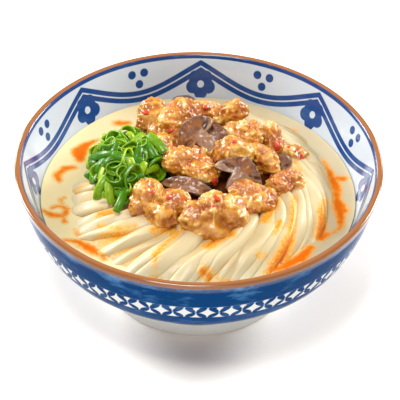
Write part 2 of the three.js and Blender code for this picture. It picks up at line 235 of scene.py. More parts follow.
# %% [markdown]
# ## Shader helpers
#
# Colours are written as sRGB hex values, as read off a colour card, and one function turns them to
# the linear numbers that a shader needs. One small function adds a node with its settings and its
# links. Pattern scales come from a grain in millimetres: a noise on Object coordinates in metres
# with scale 1000 / g has a grain of g mm.

# %% Shader helpers
def linear(hex_colour):
    """Linear RGBA from an sRGB hex colour, by the sRGB transfer curve."""
    channels = np.array([int(hex_colour[k:k + 2], 16) / 255 for k in (1, 3, 5)])
    curve = np.where(channels <= 0.04045, channels / 12.92, ((channels + 0.055) / 1.055) ** 2.4)
    return (*curve.tolist(), 1.0)


def add(tree, kind, inputs=None, **settings):
    """Adds one shader node, sets or links its inputs, and sets its properties by keyword.

    An input may be a node, one of its outputs, a number or vector, or a hex colour.
    """
    made = tree.nodes.new("ShaderNode" + kind)
    for key, value in settings.items():
        setattr(made, key, value)
    for key, value in (inputs or {}).items():
        source = value.outputs[0] if isinstance(value, bpy.types.Node) else value
        if isinstance(source, bpy.types.NodeSocket):
            tree.links.new(source, made.inputs[key])
        else:
            made.inputs[key].default_value = linear(source) if isinstance(source, str) else source
    return made


def new_material(name):
    """An empty node material: the material, its tree, and Object coordinates in metres."""
    material = bpy.data.materials.new(name)
    material.use_nodes = True
    tree = material.node_tree
    tree.nodes.clear()
    return material, tree, add(tree, "TexCoord").outputs["Object"]


def finish_material(tree, **inputs):
    """Links a Principled shader with these inputs to the material's output."""
    named = {key.replace("_", " "): value for key, value in inputs.items()}
    shader = add(tree, "BsdfPrincipled", named)
    add(tree, "OutputMaterial", {"Surface": shader})


def grain(size):
    """Noise scale, per metre, that gives a grain of that many mm."""
    return 1000 / size


# %% [markdown]
# ## The bowl
#
# A donburi bowl is thrown or pressed porcelain: a foot ring, a belly that swells and then rises
# almost straight, and a thin rounded lip. It is one turned shape, so its profile is carried round
# the axis: the underside of the foot, a Bezier curve for the belly, half an ellipse for the lip and
# a second Bezier curve for the inside. A lathe modifier would do the same, but the profile's own
# length is wanted for the painted ornament, so it is worked out here.

# %% Bowl profile
rim_radius = 100
bowl_height = 80
lip_width = 3.8
lip_round = 1.0
foot_height = 9
base_height = 3.5
well_height = 12
broth_level = 56.4
fit_gap = 0.3
belly_rows, lip_rows, well_rows = 74, 14, 70


def bezier(corners, count):
    """Cubic Bezier: four corners blended by the weights (1-t)^3, 3t(1-t)^2, 3t^2(1-t) and t^3."""
    t = np.linspace(0, 1, count)[:, None]
    a, b, c, d = np.array(corners, float)
    return (1 - t) ** 3 * a + 3 * t * (1 - t) ** 2 * b + 3 * t * t * (1 - t) * c + t**3 * d


lip_base = bowl_height - lip_round
belly_corners = [(rim_radius, lip_base), (87.4, 24.6), (79.6, 42.2), (54, foot_height)]
well_corners = [(rim_radius - lip_width, lip_base), (84, 52), (78, well_height), (0, well_height)]
belly = bezier(belly_corners, belly_rows)[::-1]
well = bezier(well_corners, well_rows)
foot = np.array([
    (16, base_height), (32, base_height), (46.4, base_height), (47.3, 3.3), (47.9, 2.2),
    (48.4, 0.6), (48.9, 0.1), (49.4, 0), (51.6, 0), (52.3, 0.1), (52.7, 0.5), (52.9, 1.2),
    (53.3, 4), (53.7, 7),
])
half_turn = np.linspace(0, np.pi, lip_rows)[1:-1]
lip = np.stack([rim_radius - lip_width / 2 + lip_width / 2 * np.cos(half_turn),
                lip_base + lip_round * np.sin(half_turn)], axis=-1)
profile = np.concatenate([foot, belly, lip, well[:-1]])
steps = np.hypot(*np.diff(profile, axis=0).T)
wall = np.concatenate([[0], np.cumsum(steps)])
wall -= wall[np.argmax(profile[:, 1])]
print("bowl profile:", len(profile), "points,", round(wall[-1] - wall[0]), "mm long")

# %% [markdown]
# ## The painted ornament
#
# Blue-and-white ware is painted with cobalt under a clear glaze. The bowl carries a plain
# traditional scheme: double swags and plum blossoms inside, and outside a mottled cobalt ground
# with a white band of interlocking circles. It could be an image, but a painted edge has to stay
# crisp close up. So each vertex holds how far it lies, in mm, from the nearest painted edge, and
# the material cuts the colour at zero. A distance blends well between vertices, so the mesh may be
# coarser than the painted line.

# %% Ornament distances
bowl_columns = 576
turn = full_turn(bowl_columns)
rings = turned(profile[:, :1], profile[:, 1], turn)
wall_grid = np.repeat(wall[:, None], bowl_columns, axis=1)
share_round = np.repeat(turn[None, :] / (2 * np.pi), len(profile), axis=0)


def cells(count, across, down, offset=0.0):
    """Position in mm in repeated cells round the bowl: along the rim, and down from a height."""
    along = (share_round * count + offset) % 1 - 0.5
    return np.stack([along * across, wall_grid - down], axis=-1)


def blossom(place, radius):
    """Distance to a five-petal blossom: the nearest of five round petals, without a round eye."""
    petal_seat, petal_size, eye_size = 0.58, 0.44, 0.24
    angles = np.arange(5) * 2 * np.pi / 5 + np.pi / 2
    centres = petal_seat * radius * np.stack([np.cos(angles), np.sin(angles)], axis=-1)
    petals = np.min([np.hypot(*(place - centre).transpose(2, 0, 1)) for centre in centres], axis=0)
    eye = np.hypot(place[..., 0], place[..., 1]) - eye_size * radius
    return np.maximum(petals - petal_size * radius, -eye)


# Inside. "down" is the length along the wall from the lip's top to a motif's middle, in mm.
swag_count = 8
swag_radius = 96
swag_down = 8.5
swag_drop = 14
blossom_down, blossom_radius = 19, 9
dots_down, dot_radius = 11.5, 2.5
dot_places = [(-3.8, -2.2), (3.8, -2.2), (0, 4.0)]
rim_line_down, rim_line_half = 2.6, 1.3

swag_span = 2 * np.pi * swag_radius / swag_count
along_swag = np.pi * (share_round * swag_count % 1)
swag_line = swag_down + swag_drop * np.sin(along_swag)
swag_slope = swag_drop * np.pi / swag_span * np.cos(along_swag)
swag = (wall_grid - swag_line) / np.sqrt(1 + swag_slope**2)

blossoms = blossom(cells(swag_count, swag_span, blossom_down, 0.5), blossom_radius)
dot_cells = cells(swag_count, swag_span, dots_down)
dots = np.min([np.hypot(*(dot_cells - seat).transpose(2, 0, 1)) for seat in dot_places], axis=0)
rim_line = np.abs(wall_grid - rim_line_down) - rim_line_half
inside = np.min([blossoms, dots - dot_radius, rim_line], axis=0)

# Outside, where the length along the wall is negative. The gaps are white lines left unpainted.
circle_count = 48
circle_size = 12.2
band_middle = -27
ground_gap, circle_gap, foot_gap = 0.5, 0.4, 1.5

band = np.abs(wall_grid - band_middle) - circle_size / 2
tile = cells(circle_count, circle_size, band_middle)
corner_tile = np.abs(tile) - circle_size / 2
lens = np.maximum(np.hypot(*tile.transpose(2, 0, 1)), np.hypot(*corner_tile.transpose(2, 0, 1)))
circles = np.maximum(lens - circle_size / 2, band + circle_gap)
outside = np.minimum(-band - ground_gap, circles)
foot_joint = wall[len(foot)]
outside = np.maximum(outside, foot_joint + foot_gap - wall_grid)
paint = np.where(wall_grid > 0, inside, outside)
print("painted share of the wall:", round(float((paint < 0).mean()), 2))

# %% [markdown]
# ## Glazed porcelain
#
# The body is fired clay under a clear glass glaze, so it is white with a hard, slightly wavy gloss.
# The white inside is painted a little bluer and deeper than outside: painted shade with a cool cast,
# set against the warm lamps. The cobalt lies under the glaze, brushed on in washes, which leaves it
# darker and lighter in streaks along the wall. The lip is dipped in an iron-brown glaze that breaks
# to tan where it runs thin. All is one Principled shader with the colours mixed by the distances
# that the mesh holds.

# %% Porcelain material
porcelain, tree, place = new_material("glazed_porcelain_with_cobalt_and_iron_rim")
wall_mm, paint_mm, swag_mm = (
    add(tree, "Attribute", attribute_name=key).outputs["Fac"]
    for key in ("wall", "paint", "swag"))
# Brush strokes run along the wall: the noise is stretched by pressing its height together.
brush_place = add(tree, "Mapping", {"Vector": place, "Scale": (1, 1, 2.6)})
brush = add(tree, "TexNoise", {"Vector": brush_place, "Scale": grain(16), "Detail": 6,
                               "Roughness": 0.62})
light_wash = add(tree, "MapRange", {"Value": brush, "From Min": 0.52, "From Max": 0.72})
under_rim = add(tree, "MapRange", {"Value": wall_mm, "From Min": -22, "From Max": -5,
                                   "To Min": 0.4})
outside_part = add(tree, "MapRange", {"Value": wall_mm, "From Min": 1, "From Max": 0,
                                      "To Min": 0.2})
wash_part = add(tree, "Math", {0: under_rim, 1: outside_part}, operation="MULTIPLY")
wash = add(tree, "Math", {0: light_wash, 1: wash_part}, operation="MULTIPLY")
inside_part = add(tree, "MapRange", {"Value": wall_mm, "From Min": 0, "From Max": 1})
thick = add(tree, "MixRGB", {"Fac": inside_part, "Color1": "#003569", "Color2": "#103D78"})
cobalt = add(tree, "MixRGB", {"Fac": wash, "Color1": thick, "Color2": "#4578AE"})
# Bands of the swag: 0.4 to 3.3 mm to either side of its line.
swag_side = add(tree, "Math", {0: swag_mm}, operation="ABSOLUTE")
swag_middle = add(tree, "Math", {0: swag_side, 1: 1.85}, operation="SUBTRACT")
swag_edge = add(tree, "Math", {0: swag_middle}, operation="ABSOLUTE")
swag_mask = add(tree, "MapRange", {"Value": swag_edge, "From Min": 1.6, "From Max": 1.3})
paint_mask = add(tree, "MapRange", {"Value": paint_mm, "From Min": 0.15, "From Max": -0.15})
painted = add(tree, "Math", {0: swag_mask, 1: paint_mask}, operation="MAXIMUM")
white = add(tree, "TexNoise", {"Vector": place, "Scale": grain(40), "Detail": 2})
outer_body = add(tree, "MixRGB", {"Fac": white, "Color1": "#C2C9CD", "Color2": "#CAD0D3"})
# Painted shade: the inside's white is bluer and deeper than the outside's.
inner_body = add(tree, "MixRGB", {"Fac": white, "Color1": "#AFBBC7", "Color2": "#B6C2CE"})
body = add(tree, "MixRGB", {"Fac": inside_part, "Color1": outer_body, "Color2": inner_body})
ware = add(tree, "MixRGB", {"Fac": painted, "Color1": body, "Color2": cobalt})
# The iron glaze reaches 4 mm down the outside and 1.6 mm down the inside, with an uneven edge.
run = add(tree, "TexNoise", {"Vector": place, "Scale": grain(5), "Detail": 3})
run_mm = add(tree, "MapRange", {"Value": run, "To Min": -0.6, "To Max": 0.6})
rim_place = add(tree, "Math", {0: wall_mm, 1: 1.3}, operation="ADD")
rim_side = add(tree, "Math", {0: rim_place}, operation="ABSOLUTE")
rim_edge = add(tree, "Math", {0: rim_side, 1: run_mm}, operation="ADD")
rim_mask = add(tree, "MapRange", {"Value": rim_edge, "From Min": 3.2, "From Max": 2.6})
rim_turn = add(tree, "MapRange", {"Value": wall_mm, "From Min": 0.4, "From Max": -2.4})
iron = add(tree, "MixRGB", {"Fac": rim_turn, "Color1": "#8B5A35", "Color2": "#794D2D"})
colour = add(tree, "MixRGB", {"Fac": rim_mask, "Color1": ware, "Color2": iron})
ripple = add(tree, "TexNoise", {"Vector": place, "Scale": grain(22), "Detail": 1})
glaze = add(tree, "Bump", {"Height": ripple, "Strength": 0.25, "Distance": 0.4 * MM})
# The glaze is thinner outside, and mirrors the table less there.
mirror = add(tree, "MapRange", {"Value": wall_mm, "From Min": -8, "From Max": -4.5,
                                "To Min": 0.01, "To Max": 0.45})
finish_material(tree, Base_Color=colour, Roughness=0.1, IOR=1.5, Specular_IOR_Level=mirror,
                Normal=glaze)

bowl_part = capped(rings, (0, 0, base_height), (0, 0, well_height),
                   wall=wall_grid, paint=paint, swag=swag)
make_piece("udon_bowl", [bowl_part], porcelain, ["bowl"])

# %% [markdown]
# ## Chili oil
#
# Orange chili oil floats in drops and trails on the broth, and clings between the noodles. A trail
# is a line with a width at each of its points. The mesh holds how deep each vertex lies inside the
# nearest trail, in mm, and the material turns that to colour with a ragged edge.

# %% Trails of oil: points of (x, y, half width) in mm
broth_trails = [
    [(-47, 62, 2.3), (-41, 62, 2.2)],
    [(-66, 30, 3.4), (-67, 36, 4.6), (-64, 41, 3.2), (-57, 47, 0.6)],
    [(-69, 22, 1.4), (-74, 21, 2.2), (-78, 15, 2.6), (-77, 10, 1.6)],
    [(-84, -16, 1.2), (-79, -19, 2.2), (-73, -20, 1.7), (-71, -14, 1.5), (-75, -11, 0.9),
     (-79, -13, 1.2)],
    [(-74, -11, 0.7), (-75, -6, 1.1), (-73, -4, 0.5)],
    [(-73, -19, 1.4), (-72, -24, 1.6)],
    [(-66, -31, 0.7), (-64, -35, 1.1)],
    [(-72, -39, 0.8), (-63, -41, 2.4), (-57, -46, 3.0), (-52, -50, 2.2), (-49, -54, 1.0)],
    [(34, 70, 0.5), (43, 64, 1.0)],
    [(49, 59, 1.7), (53, 57, 2.0)],
    [(57, 48, 1.6), (59, 46, 1.6)],
    [(69, 33, 0.8), (71, 28, 1.4), (73, 20, 2.4), (76, 11, 3.0), (76, 2, 2.4), (77, -8, 3.4),
     (78, -16, 2.8), (77, -24, 1.4), (73, -29, 0.8)],
    [(75, 17, 1.8), (80, 17, 2.4)],
    [(79, -6, 2.2), (80, -11, 2.4)],
    [(70, -5, 0.6), (68, -15, 1.6), (67, -25, 2.6), (66, -33, 3.4), (71, -30, 1.4)],
    [(61, -41, 2.2), (56, -49, 3.6), (49, -55, 3.2), (41, -60, 2.0)],
]
noodle_trails = [
    [(-62, 7, 2.0), (-57, 7, 1.8)],
    [(-68, 0, 0.6), (-56, 0, 0.9)],
    [(-53, -25, 1.7), (-45, -26, 2.2)],
    [(-53, -34, 0.7), (-43, -39, 1.1), (-33, -39, 0.8)],
    [(-63, -43, 1.0), (-51, -41, 1.0), (-36, -42, 0.6)],
    [(-18, -37, 2.4), (-12, -36, 2.0)],
    [(-24, -43, 1.6), (-17, -40, 1.8)],
    [(-6, -39, 1.3), (-16, -50, 1.2), (-22, -60, 1.7), (-22, -65, 0.9)],
    [(18, -45, 2.6), (13, -47, 2.6), (6, -53, 2.8)],
    [(44, -34, 2.0), (41, -41, 1.4)],
    [(32, -57, 0.5), (35, -55, 0.7)],
    [(30, -12, 1.8), (37, -11, 2.8)],
    [(41, -21, 2.2), (36, -32, 2.4)],
    [(43, -1, 0.8), (44, -10, 0.8), (43, -19, 0.7)],
    [(40, -8, 0.6), (40, -20, 0.5)],
    [(52, -12, 1.0), (51, -28, 1.5), (50, -41, 2.0), (46, -51, 2.6), (41, -59, 2.6),
     (36, -66, 1.4)],
    [(3, -68, 2.4), (7, -70, 2.4)],
    [(13, -72, 1.2), (17, -71, 1.2)],
    [(-23, -71, 1.1), (-20, -71, 1.1)],
    [(52, 22, 0.7), (56, 12, 0.7)],
]


def trail_depth(x, y, trails):
    """Depth inside the nearest trail, mm: the widest of half width minus distance to its line."""
    deepest = np.full(np.shape(x), -far)
    for trail in trails:
        for (x0, y0, r0), (x1, y1, r1) in zip(trail, trail[1:]):
            length = (x1 - x0) ** 2 + (y1 - y0) ** 2
            part = np.clip(((x - x0) * (x1 - x0) + (y - y0) * (y1 - y0)) / length, 0, 1)
            gap = np.hypot(x - x0 - part * (x1 - x0), y - y0 - part * (y1 - y0))
            deepest = np.maximum(deepest, r0 + part * (r1 - r0) - gap)
    return deepest


print(len(broth_trails), "trails on the broth,", len(noodle_trails), "on the noodles")

# %% [markdown]
# ## Broth
#
# The broth is a creamy chicken stock: opaque, with a soft sheen of fat and a low meniscus where it
# wets the wall. Its top is a disc of rings that rises by a hair at the wall, and its underside
# follows the well, so the piece is a true solid like the CAD node it stands for.

# %% Broth
broth_columns, broth_rows = 420, 76
surface_sink = 0.25
meniscus, meniscus_reach = 0.63, 1.2
wall_slant = 1.2
edge_distances = np.array([3, 2.2, 1.5, 0.9, 0.4, 0])

edge_radius = np.interp(broth_level, well[::-1, 1], well[::-1, 0]) - wall_slant * fit_gap
open_radii = np.linspace(1.0, edge_radius - 4, broth_rows)
top_radii = np.concatenate([open_radii, edge_radius - edge_distances])
climb = meniscus * np.exp(-(edge_radius - top_radii) / meniscus_reach)
top_heights = broth_level - surface_sink + climb
side = well[well[:, 1] < broth_level][3::4] + np.array([-fit_gap, fit_gap])
side = side[side[:, 0] > 4]
broth_profile = np.concatenate([np.stack([top_radii, top_heights], axis=-1), side])
broth_rings = turned(broth_profile[:, :1], broth_profile[:, 1], full_turn(broth_columns))
broth_oil = trail_depth(broth_rings[..., 0], broth_rings[..., 1], broth_trails)

# %% [markdown]
# The stock's colour is a pale cream, cloudy with fat. Painted light and shade make it lighter on the
# left and a little deeper on the right. The oil is a clear orange film: its middle shows deeper than
# its thin edge. Both are wet, so the roughness is low, and a little light goes into the stock.

# %% Broth material
broth_finish, tree, place = new_material("creamy_chicken_stock_with_chili_oil")
oil_mm = add(tree, "Attribute", attribute_name="oil").outputs["Fac"]
ragged = add(tree, "TexNoise", {"Vector": place, "Scale": grain(3.2), "Detail": 4,
                                "Roughness": 0.6})
ragged_mm = add(tree, "MapRange", {"Value": ragged, "From Min": 0.3, "From Max": 0.7,
                                   "To Min": -0.8, "To Max": 0.8})
film_mm = add(tree, "Math", {0: oil_mm, 1: ragged_mm}, operation="ADD")
film = add(tree, "MapRange", {"Value": film_mm, "From Min": -1.6, "From Max": 0.9})
deep = add(tree, "MapRange", {"Value": film_mm, "From Min": -0.2, "From Max": 2.2})
cloud = add(tree, "TexNoise", {"Vector": place, "Scale": grain(26), "Detail": 3})
# Painted light and shade: paler stock on the left, deeper stock on the right, by place across.
stock_painted_lit_left = add(tree, "MixRGB", {"Fac": cloud, "Color1": "#D7C899", "Color2": "#DCCEA1"})
stock_painted_shaded_right = add(tree, "MixRGB", {"Fac": cloud, "Color1": "#B8AC8C", "Color2": "#BEB294"})
sideways = add(tree, "SeparateXYZ", {"Vector": place}).outputs["X"]
painted_shade_to_right = add(tree, "MapRange", {"Value": sideways, "From Min": -0.06, "From Max": 0.06})
stock = add(tree, "MixRGB", {"Fac": painted_shade_to_right, "Color1": stock_painted_lit_left, "Color2": stock_painted_shaded_right})
oil = add(tree, "MixRGB", {"Fac": deep, "Color1": "#DE9C3A", "Color2": "#D4660A"})
colour = add(tree, "MixRGB", {"Fac": film, "Color1": stock, "Color2": oil})
finish_material(tree, Base_Color=colour, Roughness=0.2, IOR=1.36, Subsurface_Weight=0.15,
                Subsurface_Radius=(0.8, 0.5, 0.25), Subsurface_Scale=4 * MM)

broth_part = capped(broth_rings, (0, 0, broth_level - surface_sink), (0, 0, well_height + fit_gap),
                    oil=broth_oil)
make_piece("creamy_broth", [broth_part], broth_finish, ["broth"])

# %% [markdown]
# ## Places of the toppings
#
# Noodles and toppings lean on each other, so their places come before their surfaces. A chicken
# piece is a clump of lobes, as a bite of thigh meat is: each lobe has a centre and three radii. A
# mushroom slice has the foot of its cap, its turns and the sizes of its outline. The CAD model has
# plainer lumps and slices near these places.

# %% Toppings table
heap = {"name": "heap", "seed": 50, "lobes": [(-40, 6, 66.5, 17.5, 23.5, 15.5)]}
# Chicken: lobes (x, y, z of the centre, then the radii along x, y and z), seed of the waves, and
# chili flakes (azimuth and elevation from the piece's middle, and length).
chicken_rows = [
    ([(-9.8, 4.4, 76, 9, 8, 7.8), (-1.5, 0.8, 75, 10, 8, 7.3), (4.5, -2.1, 74, 6.5, 6, 5.3),
      (-5, 2, 70, 10, 8, 7)], 2, [(-37, -3, 6)]),
    ([(-27.5, -21.9, 77, 8, 7, 6.3), (-31.2, -24.5, 70, 7, 8, 7), (-17.6, -31.7, 69.5, 9, 8, 7.2),
      (-14, -26.6, 73, 8, 8, 6.8), (-22, -26, 70, 11, 9, 8)],
     5, [(-159, 73, 4), (-30, 45, 4.5), (-165, 6, 2.5)]),
    ([(-1, -35.2, 71.5, 9, 9, 8), (9.6, -31.7, 74.5, 11, 9, 7), (17.7, -32.9, 71.5, 7.5, 9, 8),
      (6.7, -38.9, 66.5, 12, 9, 7), (20.3, -27.7, 73.5, 5, 5, 4.5), (7, -33, 69, 12, 10, 8)],
     8, [(-155, 87, 5.5)]),
    ([(24.1, -16, 73.5, 7.5, 6, 4.3), (31.2, -19.1, 70, 9.5, 8, 6.3), (26.9, -21.9, 68, 7, 7, 6),
      (37.1, -17.3, 70, 5, 5, 4.4), (30, -18, 66.5, 9, 7, 5)], 11, []),
    ([(44.3, -4.1, 69, 7, 7, 6), (49.3, 0.3, 69, 7, 6, 5.5), (53.1, -1.2, 67.5, 4, 4, 3.5),
      (47, -1, 66, 8, 6.5, 5)], 14, [(177, 16, 4), (-132, 30, 2.5)]),
    ([(16.8, 12.2, 76.8, 8.5, 8, 7.5), (22.9, 12, 76, 6, 7, 6.8), (12.5, 10.7, 75, 6, 6, 6),
      (18, 14, 71, 8, 8, 8)], 17, [(-64, 81, 3.5)]),
    ([(32.3, 16.4, 73, 6, 6, 5), (36.7, 13.1, 71.5, 6, 6, 6), (39, 8.8, 69.5, 4, 4, 4),
      (35.5, 15, 68, 6.5, 7, 6)], 20, []),
    ([(-8.9, 43.3, 78.5, 10.5, 9, 7), (-15.4, 39.1, 76, 7, 8, 8), (-12, 33.2, 73, 6.5, 7, 7),
      (-11, 42, 70, 10, 10, 8)], 23, [(-109, 19, 3.5)]),
    ([(-26.8, 47.6, 77.5, 7.5, 8, 7), (-27.7, 40.6, 74.5, 6.5, 7, 8), (-23.1, 35.5, 73, 6, 7, 7),
      (-26, 44, 69, 7, 8, 7)], 26, [(-139, 60, 5)]),
    ([(25.1, 28.5, 75.3, 9, 8, 7), (18.4, 31, 76, 6.5, 6, 5), (30.1, 35.5, 74, 5, 6, 5.5),
      (25, 33, 69.5, 9, 8, 8)], 29, []),
    ([(21.2, 51.4, 76.5, 6, 6, 5.5), (15.6, 48.9, 75.5, 7, 6, 5), (10.1, 46.3, 74.5, 5, 5, 4.5),
      (16, 48, 69, 8, 7, 7)], 32, []),
    ([(4.8, 54.5, 70, 6, 6, 6), (-1.1, 53, 70, 6, 6, 6), (2, 52, 65, 7, 6, 5.5)],
     35, [(-10, 76, 5)]),
    ([(39.7, 36.9, 70, 5.5, 6, 6), (42, 29.8, 68, 6, 6, 5), (41, 33, 65, 6, 7, 5)],
     38, [(-77, 23, 5.5)]),
    ([(54.2, 26.9, 65, 6, 5, 4), (49.8, 27.2, 66, 4, 4, 3.5)], 41, [(-47, 13, 4)]),
    ([(-18.5, 20, 73, 6.5, 7, 6.5), (-17, 15, 71, 6, 6, 6), (-18, 18, 68, 7, 8, 7)], 44, []),
    ([(-1, 13, 73.5, 6.5, 6, 5.5), (9, 14, 70, 7, 8, 7), (5, 12, 66, 8, 8, 6)], 47, []),
]
mushroom_keys = ["at", "turn", "pitch", "roll", "cap_half", "cap_height", "gill_depth",
                 "stem_half", "stem_length", "thickness", "bow", "droop"]
mushroom_rows = [
    ((23.4, -3.2, 78), 12, 50, -32, 14.5, 7.5, 2.8, 4.3, 14, 5, 2.5, 0.35),
    ((-2.7, 21.6, 83), 8, 46, 45, 12.5, 8.5, 4, 4.3, 14, 6, 3, 0.2),
    ((-5.6, -11.6, 72.5), -18, 35, 0, 15.5, 5, 3.5, 9, 4, 5, 2, 0.1),
    ((10.2, 24.8, 79), -10, 40, -50, 7.5, 5.5, 3, 3, 6, 5, 1, 0.2),
    ((-9, 53.8, 73.5), 5, 70, 0, 8.5, 8, 7, 4, 10, 7, 2, 0),
    ((45.6, 14.5, 68.5), -20, 60, 10, 5.5, 5, 3, 2.4, 5, 4.5, 1, 0),
]


def turn_about(axis, degrees):
    """Rotation matrix about X, Y or Z (axis 0, 1 or 2)."""
    cosine, sine = np.cos(np.radians(degrees)), np.sin(np.radians(degrees))
    first, second = (axis + 1) % 3, (axis + 2) % 3
    matrix = np.eye(3)
    matrix[first, first] = matrix[second, second] = cosine
    matrix[first, second], matrix[second, first] = -sine, sine
    return matrix


# Pieces made darker, as a share of the crust's colour ramp: a browner crust, and on chicken_04 and
# chicken_05 also painted shade where the lamps light them brightly.
darkened_share = {"chicken_02": 0.14, "chicken_04": 0.12, "chicken_05": 0.08}
chickens = [{"name": f"chicken_{k + 1:02}", "lobes": lobes, "seed": seed, "flakes": flakes}
            for k, (lobes, seed, flakes) in enumerate(chicken_rows)]
mushrooms = [dict(zip(mushroom_keys, row), name=f"mushroom_{k + 1:02}")
             for k, row in enumerate(mushroom_rows)]
for piece in [heap, *chickens]:
    piece["lobes"] = np.array(piece["lobes"], float)
    piece["at"] = piece["lobes"][:, :3].mean(axis=0)
for piece in mushrooms:
    piece["at"] = np.array(piece["at"])
    tilted = turn_about(2, piece["turn"]) @ turn_about(0, piece["pitch"])
    piece["matrix"] = tilted @ turn_about(2, piece["roll"])
print(len(chickens), "chicken pieces,", len(mushrooms), "mushroom slices")

# %% [markdown]
# ## Forms of lumps and slices
#
# A clump is seen from its middle: in each direction it reaches as far as its farthest lobe, with a
# soft valley where two lobes are equal, and six sine waves in different directions make it uneven.
# A slice is a flat shape whose outline is a radius for each direction: a domed cap above, the gills
# below, and the stem straight down. Both can tell whether a point lies inside them, which later
# keeps the pieces out of each other.

# %% Clump and slice formulas
lobe_power = 14
wave_height = 0.045


def unit(vectors):
    """The same vectors with length one."""
    return vectors / np.linalg.norm(vectors, axis=-1, keepdims=True)


def way(azimuth, rise):
    """Unit direction with this azimuth and height, so that its level part is sqrt(1 - rise^2)."""
    level = np.sqrt(1 - rise * rise)
    return np.array([level * np.cos(azimuth), level * np.sin(azimuth), rise])


def uneven(direction, seed):
    """Sum of six sine waves across the directions, each with its own heading, pitch and start."""
    waves = 0
    for k in range(6):
        azimuth = 2 * np.pi * chance(seed, 3 * k)
        rise = 2 * chance(seed, 3 * k + 1) - 1
        along = direction @ way(azimuth, rise)
        start = 2 * np.pi * chance(seed, 3 * k + 2)
        waves = waves + np.sin((2.2 + 0.9 * k) * along + start) / np.sqrt(k + 1)
    return waves


def clump_reach(direction, piece):
    """Where a ray from the middle leaves the farthest lobe: a quadratic's roots, blended softly."""
    total = 0
    for lobe in piece["lobes"]:
        ray = direction / lobe[3:]
        seat = (lobe[:3] - piece["at"]) / lobe[3:]
        square = (ray**2).sum(axis=-1)
        along = ray @ seat
        inside_root = along**2 - square * (seat @ seat - 1)
        leave = np.where(inside_root > 0, (along + np.sqrt(np.maximum(inside_root, 0))) / square, 0)
        total = total + np.maximum(leave, 0) ** lobe_power
    return total ** (1 / lobe_power) * (1 + wave_height * uneven(direction, piece["seed"]))


def clump_points(piece, direction):
    """Points of a clump's surface for unit directions, in mm."""
    return piece["at"] + direction * clump_reach(direction, piece)[..., None]


def inside_clump(points, piece, grow):
    """Whether points lie in a clump grown by some mm."""
    away = points - piece["at"]
    return np.linalg.norm(away, axis=-1) < clump_reach(unit(away), piece) + grow


def slice_outline(angle, piece):
    """Radius of a slice in each direction: the cap's ellipse above, gills or stem below."""
    tiny = 1e-6
    up, across = np.sin(angle), np.cos(angle)
    lifted = up + piece["droop"] * np.abs(across)
    depth = np.where(lifted > 0, piece["cap_height"], piece["gill_depth"])
    cap = 1 / np.hypot(across / piece["cap_half"], lifted / depth)
    sideways, downwards = np.maximum(np.abs(across), tiny), np.maximum(-up, tiny)
    stem = np.minimum(piece["stem_length"] / downwards, piece["stem_half"] / sideways)
    return np.where(up < 0, np.maximum(cap, stem), cap)


def inside_slice(points, piece, grow):
    """Whether points lie in a slice grown by some mm: in its outline and between its cut faces."""
    local = (points - piece["at"]) @ piece["matrix"]
    height = local[..., 2] + piece["bow"] * (local[..., 0] / piece["cap_half"]) ** 2
    outline = slice_outline(np.arctan2(local[..., 1], local[..., 0]), piece)
    within = np.hypot(local[..., 0], local[..., 1]) < outline + grow
    return within & (np.abs(height) < piece["thickness"] / 2 + grow)


def pressed_back(points, centre, others, grow=0.35):
    """Points in other pieces, grown by some mm, are drawn towards the centre until they leave them.

    The place where each ray leaves a piece is found by halving, eight times over.
    """
    least_share, halvings = 0.2, 8
    moved = points.copy()
    for other in others:
        inside = inside_clump if "lobes" in other else inside_slice
        within = inside(moved, other, grow)
        if not within.any():
            continue
        ray = moved[within] - centre
        free, stuck = np.full(len(ray), least_share), np.ones(len(ray))
        for _ in range(halvings):
            middle = (free + stuck) / 2
            still = inside(centre + ray * middle[:, None], other, grow)
            free, stuck = np.where(still, free, middle), np.where(still, middle, stuck)
        moved[within] = centre + ray * free[:, None]
    return moved


spans = np.ptp(clump_points(chickens[0], np.concatenate([np.eye(3), -np.eye(3)])), axis=0)
print("first chicken piece, mm:", spans.round(1).tolist())

# %% [markdown]
# ## Noodles
#
# Udon are thick wheat noodles, cut square and boiled until their edges turn round. They lie in a
# combed swirl: each comes out from under the toppings, runs out clockwise and sinks into the broth,
# at a low angle on the left and close to the rim in front. A curve modifier could sweep them, but a
# formula lets the section flatten, taper and turn on its way: a superellipse between a square and a
# circle is carried along a smooth curve through five points. A second, lower layer fills the gaps,
# and a core of the same dough carries both.

# %% Noodle bed
noodle_width = 7.8
noodle_thickness = 6.4
bed_crown = 64
bed_edge = 55.2
bed_power = 3
bed_floor = 30


def nest_radius(angle):
    """Plan outline of the nest in mm: 70, plus 8 in front, less 12 in a dent at the back left."""
    front = 0.5 - 0.5 * np.sin(angle)
    back_left = np.maximum(0, np.cos(angle - np.radians(135))) ** 2
    return 70 + 8 * front - 12 * back_left


def bed_height(x, y):
    """Top of the bare core: the crown, falling to the edge with the cube of the radius share."""
    share = np.hypot(x, y) / nest_radius(np.arctan2(y, x))
    return bed_edge + (bed_crown - bed_edge) * (1 - np.minimum(share, 1) ** bed_power)


def near_toppings(x, y):
    """1 under or beside a chicken lobe, falling to 0 at one and a half times its plan size."""
    closest = np.full(np.shape(x), far)
    for lobe in np.concatenate([piece["lobes"] for piece in chickens]):
        closest = np.minimum(closest, np.hypot((x - lobe[0]) / lobe[3], (y - lobe[1]) / lobe[4]))
    return smooth_step(1.5, 0.9, closest)


